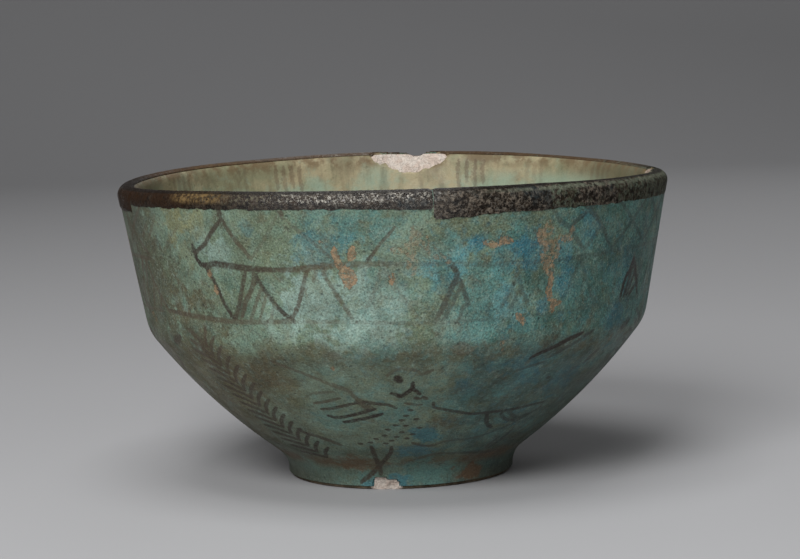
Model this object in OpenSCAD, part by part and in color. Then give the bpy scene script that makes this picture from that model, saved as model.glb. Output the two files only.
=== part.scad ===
// Carinated faience bowl on a low disc foot.
// A quartz-paste body and a luted foot are coated inside and out with alkaline glaze,
// and a dark band is brushed over the lip in two strokes.
// Units are millimetres. The origin is the centre of the resting plane, +Z is up and
// the front of the bowl faces -Y. Azimuths run from the front towards +X.

/* [Overall] */
// Largest outer diameter, at the lip
rim_d = 150; // [142:1:170]
// Height from the resting plane to the crest of the lip
bowl_h = 82; // [74:1:96]

/* [Wall] */
// Outer diameter at the shoulder, where the upper wall meets the lower wall
shoulder_d = 136.4; // [120:0.2:144]
// Height of the shoulder above the resting plane
shoulder_z = 42; // [36:0.5:50]
// Rounding radius of the shoulder outside
shoulder_round = 12; // [4:1:18]
// Rounding radius of the shoulder inside
inner_shoulder_round = 18; // [6:1:26]
// Swell of the lower wall outside the straight line from foot to shoulder
lower_swell = 2.1; // [0:0.1:3.5]
// Thickness of the wall at the shoulder, both glaze coats included
wall_t = 6; // [4:0.5:9]
// Thickness of the lip, both glaze coats included
lip_t = 5.2; // [4:0.2:8]

/* [Floor and foot] */
// Height of the floor inside the bowl
floor_z = 14; // [11:0.5:20]
// Inner diameter where the floor turns up into the wall
floor_d = 54; // [36:1:60]
// Rounding radius where the floor turns up into the wall
floor_round = 18; // [6:1:24]
// Outer diameter of the foot
foot_d = 62; // [50:1:74]
// Height of the luted joint between foot and body
foot_h = 7; // [5:0.5:8]
// Height at which the line of the lower wall would meet the side of the foot
neck_z = 5.4; // [5:0.1:7]
// Radius of the hollow sweep from the foot into the lower wall
neck_round = 8; // [4:0.5:8]
// Rounding radius of the foot's bottom edge
foot_edge = 0.8; // [0.2:0.1:1]
// Width of the ring that the foot rests on
bearing_w = 9; // [5:0.5:14]
// Depth of the shallow dish under the foot
dish_depth = 1.2; // [0.4:0.1:3]

/* [Glaze] */
// Thickness of the glaze coats
glaze_t = 0.5; // [0.3:0.05:1]
// Height of the bare edge of the foot below the outer glaze
glaze_stop = 1; // [1:0.1:1.6]

/* [Rim band] */
// Thickness of the dark rim band on the glaze
band_t = 0.3; // [0.15:0.05:0.6]
// Depth of the narrow stroke below the crest outside
narrow_depth = 4; // [3.5:0.1:8]
// Depth of the wide stroke below the crest outside
wide_depth = 6; // [4:0.1:10]
// Depth of both strokes below the crest inside
inner_depth = 0.5; // [0.4:0.1:2.6]
// Azimuth where the narrow stroke starts
narrow_start = -69; // [-100:1:-40]
// Azimuth where the narrow stroke ends against the wide one
narrow_end = 7; // [-20:1:40]

/* [Chips] */
// Width of the flake lost from the back of the lip
flake_w = 19; // [8:0.5:24]
// Depth of the flake lost from the back of the lip
flake_depth = 2; // [0.6:0.1:2]
// Width of the notch beside the flake
notch_w = 5.5; // [2:0.5:8]
// Depth of the notch beside the flake
notch_depth = 1.6; // [0.6:0.1:2]
// Width of the chip on the right of the lip
nick_w = 8; // [3:0.5:10]
// Depth of the chip on the right of the lip
nick_depth = 1.4; // [0.5:0.1:1.6]
// Width of each of the two chips at the front of the foot
foot_chip_w = 4.5; // [3:0.5:9]
// Depth of each of the two chips at the front of the foot
foot_chip_depth = 1.3; // [0.6:0.1:2]

/* [Hidden] */

// Fineness of arcs in a profile, in degrees, and of the swell, in steps
arc_step = 6;
swell_steps = 8;
// Largest share of a corner's shorter side that its rounding may take
corner_share = 0.95;
$fn = 180;

core_colour = [0.80, 0.70, 0.62];
outer_colour = [0.33, 0.55, 0.50];
inner_colour = [0.60, 0.62, 0.47];
band_colour = [0.17, 0.14, 0.12];

// Azimuths of the chips, where they sit on the round of the lip, and the heights and
// facing of the two that run together on the side of the foot
flake_azimuth = 176;
notch_azimuth = 174;
nick_azimuth = 93;
foot_chip_azimuths = [-11, -5.8];
flake_on_lip = 142;
notch_on_lip = 90;
nick_on_lip = 132;
foot_chip_heights = [1, 0.3];
foot_chip_facing = 5;

// Plane geometry of a profile: [radius, height] points that run with the air on their right

function polar(centre, radius, angle) = centre + radius * [cos(angle), sin(angle)];

function heading(p, q) = (q - p) / norm(q - p);

function right_of(v) = [v[1], -v[0]];

function bearing(v) = atan2(v[1], v[0]);

// The turn from one angle to another by the shorter way
function short_turn(from, to) = (to - from + 540) % 360 - 180;

function reversed(p) = [for (i = [len(p) - 1:-1:0]) p[i]];

// The points of p from one index to another
function span(p, first, last) = [for (i = [first:last]) p[i]];

// All the points of p but the first
function tail(p) = span(p, 1, len(p) - 1);

// Points along an arc, both ends included
function arc(centre, radius, from, to) =
    let (n = max(2, ceil(abs(to - from) / arc_step)))
    [for (i = [0:n]) polar(centre, radius, from + (to - from) * i / n)];

// The corner at b between a and c, rounded to a radius that its two sides can take
function corner(a, b, c, radius) =
    let (
        u = heading(b, a),
        v = heading(b, c),
        half = acos(u * v) / 2,
        reach = min(radius / tan(half), corner_share * min(norm(a - b), norm(c - b))),
        centre = b + heading([0, 0], u + v) * reach / cos(half),
        from = bearing(b + u * reach - centre),
        turn = short_turn(from, bearing(b + v * reach - centre))
    )
    arc(centre, reach * tan(half), from, from + turn);

// A line from a to b that swells to its right in a shallow parabola
function swollen(a, b, swell) =
    let (out = right_of(heading(a, b)))
    [for (i = [0:swell_steps])
        let (t = i / swell_steps)
        a + (b - a) * t + out * 4 * swell * t * (1 - t)];

// A path moved sideways, to its right when the distance is positive
function shifted(p, distance) =
    [for (i = [0:len(p) - 1])
        let (
            a = i > 0 ? heading(p[i - 1], p[i]) : heading(p[0], p[1]),
            b = i < len(p) - 1 ? heading(p[i], p[i + 1]) : a,
            out = right_of(heading([0, 0], a + b))
        )
        p[i] + out * distance / (out * right_of(a))];

// Where the line from a to b is at a height
function at_height(a, b, z) = a + (b - a) * (z - a[1]) / (b[1] - a[1]);

// The part of a path above a height when side is 1, or below it when side is -1
function clipped(p, z, side) =
    [for (i = [0:len(p) - 1])
        each concat(
            side * (p[i][1] - z) >= 0 ? [p[i]] : [],
            i < len(p) - 1 && (p[i][1] - z) * (p[i + 1][1] - z) < 0
                ? [at_height(p[i], p[i + 1], z)]
                : []
        )];

// The angle on a circle where a line from p touches it, outside when side is 1
function touch_angle(p, centre, radius, side) =
    bearing(p - centre) + side * acos(radius / norm(p - centre));

// The glazed surface, from the bare edge of the foot over the lip to the floor's centre

foot_r = foot_d / 2;
lip_r = lip_t / 2;
lip_centre = [rim_d / 2 - lip_r, bowl_h - lip_r];
shoulder = [shoulder_d / 2, shoulder_z];
neck = [foot_r, neck_z];
foot_side_end = [foot_r, glaze_stop];

outer_touch = touch_angle(shoulder, lip_centre, lip_r, 1);
outer_touch_at = polar(lip_centre, lip_r, outer_touch);
lower_line = swollen(neck, shoulder, lower_swell);

// The inner shoulder lies one wall thickness inside both slopes of the outer one
lower_in = -right_of(heading(lower_line[swell_steps - 1], shoulder));
upper_in = -right_of(heading(shoulder, outer_touch_at));
shoulder_in = heading([0, 0], lower_in + upper_in);
inner_shoulder = shoulder + shoulder_in * wall_t / (shoulder_in * upper_in);
inner_touch = touch_angle(inner_shoulder, lip_centre, lip_r, -1) + 360;
inner_touch_at = polar(lip_centre, lip_r, inner_touch);
floor_corner = [floor_d / 2, floor_z];
floor_centre = [0, floor_z];
inner_line = swollen(floor_corner, inner_shoulder, lower_swell);

outer_path = concat(
    [foot_side_end],
    corner(foot_side_end, neck, lower_line[1], neck_round),
    span(lower_line, 2, swell_steps - 1),
    corner(lower_line[swell_steps - 1], shoulder, outer_touch_at, shoulder_round),
    arc(lip_centre, lip_r, outer_touch, 90)
);
inner_path = concat(
    arc(lip_centre, lip_r, 90, inner_touch),
    corner(inner_touch_at, inner_shoulder, inner_line[swell_steps - 1], inner_shoulder_round),
    reversed(span(inner_line, 3, swell_steps - 2)),
    corner(inner_line[2], floor_corner, floor_centre, floor_round),
    [floor_centre]
);

// The paste surface under the glaze, split where the two coats meet on the crest
crest = len(outer_path) - 1;
glazed_path = concat(outer_path, tail(inner_path));
paste_path = shifted(glazed_path, -glaze_t);
outer_paste = span(paste_path, 0, crest);
inner_paste = span(paste_path, crest, len(paste_path) - 1);

foot_paste_r = foot_r - glaze_t;
bearing_r = foot_paste_r - bearing_w;

// Shared forms

module revolved(points) {
    rotate_extrude() polygon(points);
}

// Stands what is drawn along +X at an azimuth round the bowl
module at_azimuth(azimuth) {
    rotate([0, 0, azimuth - 90]) children();
}

// A shallow conchoidal loss, as wide and deep as stated, at a point on the profile
module chip(azimuth, point, facing, width, depth) {
    ball_r = (width * width / 4 + depth * depth) / (2 * depth);
    centre = polar(point, ball_r - depth, facing);
    at_azimuth(azimuth) translate([centre[0], 0, centre[1]]) sphere(ball_r);
}

module lip_chip(azimuth, on_lip, width, depth) {
    chip(azimuth, polar(lip_centre, lip_r, on_lip), on_lip, width, depth);
}

module lip_chips() {
    lip_chip(flake_azimuth, flake_on_lip, flake_w, flake_depth);
    lip_chip(notch_azimuth, notch_on_lip, notch_w, notch_depth);
    lip_chip(nick_azimuth, nick_on_lip, nick_w, nick_depth);
}

module foot_chips() {
    for (i = [0:len(foot_chip_azimuths) - 1])
        chip(
            foot_chip_azimuths[i],
            [foot_r, foot_chip_heights[i]],
            foot_chip_facing,
            foot_chip_w,
            foot_chip_depth
        );
}

// One brushed stroke of the rim band: an arc of a thin cap over the lip
module rim_stroke(from, to, depth) {
    path = concat(
        clipped(outer_path, bowl_h - depth, 1),
        tail(clipped(inner_path, bowl_h - inner_depth, 1))
    );
    at_azimuth(from)
        rotate_extrude(angle = to - from)
            polygon(concat(path, reversed(shifted(path, band_t))));
}

// Pieces

module bowl_body() {
    color(core_colour)
        difference() {
            revolved(concat(clipped(paste_path, foot_h, 1), [[0, foot_h]]));
            lip_chips();
        }
}

module foot_disc() {
    color(core_colour)
        difference() {
            revolved(concat(
                [[0, dish_depth], [bearing_r, 0]],
                corner([0, 0], [foot_paste_r, 0], [foot_paste_r, glaze_stop], foot_edge),
                clipped(outer_paste, foot_h, -1),
                [[0, foot_h]]
            ));
            foot_chips();
        }
}

module outer_glaze() {
    color(outer_colour)
        difference() {
            revolved(concat(outer_path, reversed(outer_paste)));
            lip_chips();
            foot_chips();
        }
}

module inner_glaze() {
    color(inner_colour)
        difference() {
            revolved(concat(inner_path, reversed(inner_paste)));
            lip_chips();
        }
}

module rim_band_narrow() {
    color(band_colour) rim_stroke(narrow_start, narrow_end, narrow_depth);
}

module rim_band_wide() {
    color(band_colour)
        difference() {
            rim_stroke(narrow_end, narrow_start + 360, wide_depth);
            lip_chips();
        }
}

bowl_body();
foot_disc();
outer_glaze();
inner_glaze();
rim_band_narrow();
rim_band_wide();
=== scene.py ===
"""A weathered faience bowl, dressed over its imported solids.

Every piece is turned from one profile and then chipped and warped by one rule, so the pieces stay
seated on each other. Sizes are millimetres and azimuths are degrees, from the front (-Y) towards +X.
Meshes are in metres, in the frame of the solids.
"""

import logging
import math
from collections.abc import Callable, Iterable, Mapping, Sequence
from dataclasses import dataclass, field
from enum import Enum

import bpy
import numpy as np
from mathutils import Matrix, Vector


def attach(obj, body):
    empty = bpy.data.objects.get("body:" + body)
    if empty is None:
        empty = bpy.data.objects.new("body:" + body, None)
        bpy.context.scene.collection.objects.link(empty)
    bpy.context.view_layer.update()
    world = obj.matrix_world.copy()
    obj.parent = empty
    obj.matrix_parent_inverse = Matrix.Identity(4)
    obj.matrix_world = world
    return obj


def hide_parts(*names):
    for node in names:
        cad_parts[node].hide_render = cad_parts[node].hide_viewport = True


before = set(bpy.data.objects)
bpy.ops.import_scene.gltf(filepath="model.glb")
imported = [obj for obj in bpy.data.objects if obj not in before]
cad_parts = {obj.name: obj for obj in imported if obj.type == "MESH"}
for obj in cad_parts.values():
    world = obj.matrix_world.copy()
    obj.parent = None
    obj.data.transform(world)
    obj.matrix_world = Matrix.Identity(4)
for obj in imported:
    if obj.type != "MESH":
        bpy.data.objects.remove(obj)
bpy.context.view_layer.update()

MM = 0.001
ARC_STEP = 3.0
SWELL_STEPS = 48

Colour = tuple[float, float, float, float]
Place = tuple[float, float]
Piece = bpy.types.Object
Material = bpy.types.Material
Socket = bpy.types.NodeSocket
Sockets = bpy.types.bpy_prop_collection

log = logging.getLogger("bowl")


class Slot(Enum):
    """The record's material slots."""

    PASTE = "faience_paste"
    OUTER = "outer_glaze"
    INNER = "inner_glaze"
    BAND = "rim_band"


class Side(Enum):
    """The side of the wall that a brush mark lies on."""

    OUTSIDE = "outside"
    INSIDE = "inside"


class TreeKind(Enum):
    """The two kinds of node tree that the pieces need."""

    SHAPE = "GeometryNodeTree"
    FINISH = "ShaderNodeTree"


# Plane geometry of a profile: rows of (radius, height) that run with the air on their right


def unit(vectors: np.ndarray) -> np.ndarray:
    """Returns the vector, or each row of vectors, at length one."""
    return vectors / np.linalg.norm(vectors, axis=-1, keepdims=True)


def right_of(directions: np.ndarray) -> np.ndarray:
    """Returns each direction turned a quarter to its right."""
    return np.stack((directions[..., 1], -directions[..., 0]), axis=-1)


def bearing(vector: np.ndarray) -> float:
    """Returns the angle of a plane vector in degrees."""
    return math.degrees(math.atan2(vector[1], vector[0]))


def arc(centre: np.ndarray, radius: float, start: float, end: float) -> np.ndarray:
    """Draws an arc.

    Args:
        centre: centre of the circle.
        radius: radius of the circle.
        start: angle of the first point, in degrees.
        end: angle of the last point, in degrees.

    Returns:
        Points along the arc, both ends included.
    """
    steps = max(2, math.ceil(abs(end - start) / ARC_STEP))
    angles = np.radians(np.linspace(start, end, steps + 1))
    return centre + radius * np.column_stack((np.cos(angles), np.sin(angles)))


def touch_angle(point: np.ndarray, centre: np.ndarray, radius: float, turn: int) -> float:
    """Returns the angle where a line from a point touches a circle, on one side (1) or the other (-1)."""
    away = point - centre
    return bearing(away) + turn * math.degrees(math.acos(radius / np.linalg.norm(away)))


def swollen(start: np.ndarray, end: np.ndarray, swell: float) -> np.ndarray:
    """Draws a line that swells to its right in a shallow parabola.

    Args:
        start: first point.
        end: last point.
        swell: distance of the middle from the straight line.

    Returns:
        Points along the line, both ends included.
    """
    share = np.linspace(0, 1, SWELL_STEPS + 1)[:, None]
    out = right_of(unit(end - start))
    return start + (end - start) * share + out * 4 * swell * share * (1 - share)


def rounded(path: np.ndarray, at: int, radius: float) -> np.ndarray:
    """Rounds one corner of a path.

    Args:
        path: the path.
        at: index of the corner.
        radius: rounding radius.

    Returns:
        The path with an arc in place of the corner and of the points that the arc reaches over.
    """
    tip = path[at]
    back, ahead = unit(path[at - 1] - tip), unit(path[at + 1] - tip)
    half = math.acos(float(back @ ahead)) / 2
    reach = radius / math.tan(half)
    centre = tip + unit(back + ahead) * reach / math.cos(half)
    first = bearing(tip + back * reach - centre)
    turn = (bearing(tip + ahead * reach - centre) - first + 180) % 360 - 180
    gap = np.linalg.norm(path - tip, axis=1)
    before = path[:at][gap[:at] > reach]
    after = path[at + 1:][gap[at + 1:] > reach]
    return np.vstack((before, arc(centre, radius, first, first + turn), after))


def outward(path: np.ndarray) -> np.ndarray:
    """Returns, for each point of a path, the step that moves both its sides one unit to their right."""
    headings = unit(np.diff(path, axis=0))
    before = np.vstack((headings[:1], headings))
    after = np.vstack((headings, headings[-1:]))
    out = right_of(unit(before + after))
    return out / np.sum(out * right_of(before), axis=1)[:, None]


def graded(path: np.ndarray, spacing: float | Callable[[np.ndarray], np.ndarray]) -> np.ndarray:
    """Spaces the points of a path anew.

    Args:
        path: the path.
        spacing: the wanted spacing, or what gives it at each height.

    Returns:
        Points along the same path, closer where the spacing is small.
    """
    middles = (path[1:, 1] + path[:-1, 1]) / 2
    steps = np.linalg.norm(np.diff(path, axis=0), axis=1)
    wanted = spacing(middles) if callable(spacing) else spacing
    marks = np.concatenate(([0.0], np.cumsum(steps / wanted)))
    stops = np.linspace(0, marks[-1], max(2, round(marks[-1]) + 1))
    return np.column_stack([np.interp(stops, marks, path[:, axis]) for axis in (0, 1)])


def above(path: np.ndarray, height: float) -> np.ndarray:
    """Returns the part of a path above a height, cut where it crosses it."""
    kept: list[np.ndarray] = []
    for index, point in enumerate(path):
        if index and (point[1] - height) * (path[index - 1][1] - height) < 0:
            last = path[index - 1]
            kept.append(last + (point - last) * (height - last[1]) / (point[1] - last[1]))
        if point[1] >= height:
            kept.append(point)
    return np.array(kept)


@dataclass(frozen=True)
class BowlForm:
    """The bowl's sizes, as its solids have them, and the outlines that follow from them."""

    rim_d: float = 150.0
    bowl_h: float = 82.0
    shoulder_d: float = 136.4
    shoulder_z: float = 42.0
    shoulder_round: float = 12.0
    inner_shoulder_round: float = 18.0
    lower_swell: float = 2.1
    wall_t: float = 6.0
    lip_t: float = 5.2
    floor_z: float = 14.0
    floor_d: float = 54.0
    floor_round: float = 18.0
    foot_d: float = 62.0
    foot_h: float = 7.0
    neck_z: float = 5.4
    neck_round: float = 8.0
    foot_edge: float = 0.8
    bearing_w: float = 9.0
    dish_depth: float = 1.2
    glaze_t: float = 0.5
    glaze_stop: float = 1.0

    @property
    def lip_r(self) -> float:
        """Radius of the round lip."""
        return self.lip_t / 2

    @property
    def lip_centre(self) -> np.ndarray:
        """Centre of the round lip."""
        return np.array((self.rim_d / 2 - self.lip_r, self.bowl_h - self.lip_r))

    @property
    def shoulder(self) -> np.ndarray:
        """Where the lines of the upper and lower wall meet outside."""
        return np.array((self.shoulder_d / 2, self.shoulder_z))

    def lip_point(self, angle: float) -> np.ndarray:
        """Returns the point of the lip's surface at an angle, in degrees from straight out."""
        turn = math.radians(angle)
        return self.lip_centre + self.lip_r * np.array((math.cos(turn), math.sin(turn)))

    def outer(self) -> np.ndarray:
        """Returns the outer face, from the bare edge of the foot to the crest of the lip."""
        foot_side = np.array((self.foot_d / 2, self.glaze_stop))
        neck = np.array((self.foot_d / 2, self.neck_z))
        touch = touch_angle(self.shoulder, self.lip_centre, self.lip_r, 1)
        lower = swollen(neck, self.shoulder, self.lower_swell)
        path = np.vstack((foot_side, lower, self.lip_point(touch)))
        path = rounded(path, len(path) - 2, self.shoulder_round)
        path = rounded(path, 1, self.neck_round)
        return np.vstack((path[:-1], arc(self.lip_centre, self.lip_r, touch, 90)))

    def inner(self) -> np.ndarray:
        """Returns the inner face, from the crest of the lip to the centre of the floor."""
        lip_touch = touch_angle(self.shoulder, self.lip_centre, self.lip_r, 1)
        neck = np.array((self.foot_d / 2, self.neck_z))
        lower_in = -right_of(unit(self.shoulder - swollen(neck, self.shoulder, self.lower_swell)[-2]))
        upper_in = -right_of(unit(self.lip_point(lip_touch) - self.shoulder))
        inward = unit(lower_in + upper_in)
        shoulder = self.shoulder + inward * self.wall_t / float(inward @ upper_in)
        touch = touch_angle(shoulder, self.lip_centre, self.lip_r, -1) % 360
        corner = np.array((self.floor_d / 2, self.floor_z))
        lower = swollen(corner, shoulder, self.lower_swell)[::-1]
        path = np.vstack((self.lip_point(touch), lower, (0.0, self.floor_z)))
        path = rounded(path, len(path) - 2, self.floor_round)
        path = rounded(path, 1, self.inner_shoulder_round)
        return np.vstack((arc(self.lip_centre, self.lip_r, 90, touch), path[1:]))

    def paste(self) -> tuple[np.ndarray, np.ndarray]:
        """Returns the paste's outer and inner face under the glaze, which meet at the crest."""
        outer, inner = self.outer(), self.inner()
        path = np.vstack((outer, inner[1:]))
        path = path - outward(path) * self.glaze_t
        path[-1, 0] = 0.0
        return path[:len(outer)], path[len(outer) - 1:]

    def radius_at(self, side: Side, heights: np.ndarray) -> np.ndarray:
        """Returns the radius of one face of the wall at some heights."""
        path = self.outer() if side is Side.OUTSIDE else self.inner()[::-1]
        return np.interp(heights, path[:, 1], path[:, 0])


@dataclass(frozen=True)
class Chip:
    """A shallow loss with the face of a ball.

    The spall is how much further out the glaze has come off, as a share of its sink.
    """

    azimuth: float
    point: Place
    facing: float
    width: float
    depth: float
    spall: float = 0.0

    @property
    def radius(self) -> float:
        """Radius of the ball that leaves a loss this wide and deep."""
        return (self.width ** 2 / 4 + self.depth ** 2) / (2 * self.depth)

    @property
    def centre(self) -> Vector:
        """Centre of the ball, in metres."""
        away = self.radius - self.depth
        turn = math.radians(self.facing)
        around = math.radians(self.azimuth)
        reach = self.point[0] + away * math.cos(turn)
        height = self.point[1] + away * math.sin(turn)
        return Vector((reach * math.sin(around), -reach * math.cos(around), height)) * MM


def bowl_chips(form: BowlForm) -> list[Chip]:
    """Lists the bowl's chips.

    Args:
        form: the bowl's sizes.

    Returns:
        The flake and its notch at the back of the lip, the nick on the right and the foot's two.
    """
    flake = Chip(175, tuple(form.lip_point(142)), facing=142, width=19, depth=2.0, spall=0.45)
    notch = Chip(173.4, tuple(form.lip_point(90)), facing=90, width=5.5, depth=1.6, spall=0.5)
    nick = Chip(93, tuple(form.lip_point(132)), facing=132, width=8, depth=1.4)
    on_foot = [Chip(azimuth, (form.foot_d / 2, height), facing=5, width=4.5, depth=1.3)
               for azimuth, height in ((-11, 1.0), (-5.8, 0.3))]
    return [flake, notch, nick, *on_foot]


class Graph:
    """Adds nodes to a node tree, with one short call each."""

    def __init__(self, tree: bpy.types.NodeTree) -> None:
        """Starts on a tree."""
        self.tree = tree

    @classmethod
    def group(
        cls,
        name: str,
        kind: TreeKind,
        inputs: Mapping[str, str],
        outputs: Mapping[str, str],
    ) -> "Graph":
        """Makes a new node group.

        Args:
            name: name of the group.
            kind: whether it shapes or finishes.
            inputs: names of the inputs, each with its kind, such as Float.
            outputs: names of the outputs, each with its kind.

        Returns:
            A graph on the new group, with its input and output nodes in source and sink.
        """
        tree = bpy.data.node_groups.new(name, kind.value)
        for in_out, sockets in (("INPUT", inputs), ("OUTPUT", outputs)):
            for label, socket_kind in sockets.items():
                tree.interface.new_socket(label, in_out=in_out, socket_type="NodeSocket" + socket_kind)
        graph = cls(tree)
        graph.source = graph.add("NodeGroupInput").outputs
        graph.sink = graph.add("NodeGroupOutput").inputs
        return graph

    def feed(self, socket: Socket, value: object) -> None:
        """Links a socket to an input, or sets the input's value."""
        if isinstance(value, Socket):
            self.tree.links.new(value, socket)
        else:
            socket.default_value = value

    def add(
        self, kind: str, inputs: Mapping[str | int, object] | None = None, **settings: object
    ) -> bpy.types.Node:
        """Adds a node.

        Args:
            kind: the node's type name.
            inputs: values or sockets for its inputs, by name or number.
            **settings: the node's own properties.

        Returns:
            The node.
        """
        node = self.tree.nodes.new(kind)
        for name, value in settings.items():
            setattr(node, name, value)
        for key, value in (inputs or {}).items():
            if isinstance(key, int):
                self.feed(node.inputs[key], value)
            else:
                self.feed(next(s for s in node.inputs if s.name == key and s.enabled), value)
        return node

    def first(self, kind: str, *inputs: Mapping[str | int, object], **settings: object) -> Socket:
        """Adds a node and returns its first output."""
        return self.add(kind, *inputs, **settings).outputs[0]

    def place(self, group: "Graph", **inputs: object) -> Sockets:
        """Places a node group, with values or sockets for its inputs by name, and returns its outputs."""
        kind = "GeometryNodeGroup" if self.tree.bl_idname == TreeKind.SHAPE.value else "ShaderNodeGroup"
        return self.add(kind, inputs, node_tree=group.tree).outputs

    def named(self, name: str, kind: str) -> Socket:
        """Returns a named attribute of the geometry."""
        return self.first("GeometryNodeInputNamedAttribute", {"Name": name}, data_type=kind)

    def math(self, operation: str, *values: object) -> Socket:
        """Returns the result of a Math node."""
        return self.first("ShaderNodeMath", dict(enumerate(values)), operation=operation)

    def whole(self, operation: str, *values: object) -> Socket:
        """Returns the result of an Integer Math node."""
        return self.first("FunctionNodeIntegerMath", dict(enumerate(values)), operation=operation)

    def vector(self, operation: str, *values: object) -> Socket:
        """Returns the result of a Vector Math node, a value for LENGTH and a vector otherwise."""
        node = self.add("ShaderNodeVectorMath", operation=operation)
        names = (0, "Scale") if operation == "SCALE" else range(len(values))
        for key, value in zip(names, values):
            self.feed(node.inputs[key], value)
        return node.outputs["Value" if operation == "LENGTH" else "Vector"]

    def combine(self, x: object, y: object, z: object) -> Socket:
        """Returns a vector made of three values."""
        return self.first("ShaderNodeCombineXYZ", {0: x, 1: y, 2: z})

    def split(self, vector: Socket) -> tuple[Socket, Socket, Socket]:
        """Returns the three values of a vector."""
        x, y, z = self.add("ShaderNodeSeparateXYZ", {0: vector}).outputs
        return x, y, z

    def smooth(self, value: Socket, low: object, high: object) -> Socket:
        """Returns a smooth step from 0 at low to 1 at high."""
        inputs = {"Value": value, "From Min": low, "From Max": high}
        return self.first("ShaderNodeMapRange", inputs, interpolation_type="SMOOTHSTEP")

    def noise(
        self, vector: Socket, scale: float, detail: float = 2.0, roughness: float = 0.5, output: str = "Fac"
    ) -> Socket:
        """Returns the value of a Noise Texture node, or another output."""
        inputs = {"Vector": vector, "Scale": scale, "Detail": detail, "Roughness": roughness}
        return self.add("ShaderNodeTexNoise", inputs).outputs[output]

    def blend(self, share: object, first: object, second: object) -> Socket:
        """Returns a mix of two colours, all second where share is 1."""
        return self.add("ShaderNodeMix", {0: share, 6: first, 7: second}, data_type="RGBA").outputs[2]

    def line(self, value: object, slope: object, start: object) -> Socket:
        """Returns a value times a slope, plus a start."""
        return self.math("MULTIPLY_ADD", value, slope, start)

    def times(self, *values: object) -> Socket:
        """Returns the product of values."""
        product = values[0]
        for value in values[1:]:
            product = self.math("MULTIPLY", product, value)
        return product

    def fade(self, share: object, first: object, second: object) -> Socket:
        """Returns a mix of two values, all second where share is 1."""
        return self.first("ShaderNodeMix", {0: share, 2: first, 3: second}, data_type="FLOAT")


@dataclass(frozen=True)
class Heave:
    """A place where the rim rises: how far, in which direction and how sharply."""

    rise: float
    azimuth: float
    sharpness: float


@dataclass(frozen=True)
class Handwork:
    """How far the bowl strays from a true turned form."""

    saddle: float = 1.0
    heaves: tuple[Heave, ...] = (Heave(0.7, -115.0, 6.0), Heave(0.9, 60.0, 4.0), Heave(0.5, -48.0, 4.0))
    wobble: float = 0.55
    wobble_span: float = 62.0
    chip_roughness: float = 0.45
    chip_grain: float = 2.2
    seed: float = 4.0

    def lift(self, around: np.ndarray) -> np.ndarray:
        """Returns how far the rim is lifted.

        Args:
            around: azimuths in radians.

        Returns:
            The lifts in millimetres.
        """
        total = self.saddle * np.cos(2 * around)
        for heave in self.heaves:
            facing = np.maximum(np.cos(around - math.radians(heave.azimuth)), 0.0)
            total = total + heave.rise * facing ** heave.sharpness
        return total


@dataclass
class Outline:
    """A profile to be turned, with what the turning has to know at each of its points."""

    points: np.ndarray
    lift: np.ndarray | None = None
    out: np.ndarray | None = None
    pull: np.ndarray | None = None

    def mesh(self, name: str) -> bpy.types.Mesh:
        """Makes the profile a chain of points in the XZ plane.

        Args:
            name: name of the mesh.

        Returns:
            A mesh of loose points, in metres, with the attributes lift, out and pull.
        """
        count = len(self.points)
        lift = np.zeros(count) if self.lift is None else self.lift
        out = np.zeros((count, 2)) if self.out is None else self.out
        pull = np.zeros((count, 2)) if self.pull is None else self.pull
        mesh = bpy.data.meshes.new(name)
        mesh.from_pydata([(r * MM, 0.0, z * MM) for r, z in self.points], [], [])
        mesh.attributes.new("lift", "FLOAT", "POINT").data.foreach_set("value", lift)
        for label, rows in (("out", out), ("pull", pull)):
            flat = np.column_stack((rows[:, 0], np.zeros(count), rows[:, 1])).ravel()
            mesh.attributes.new(label, "FLOAT_VECTOR", "POINT").data.foreach_set("vector", flat)
        return mesh


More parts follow.
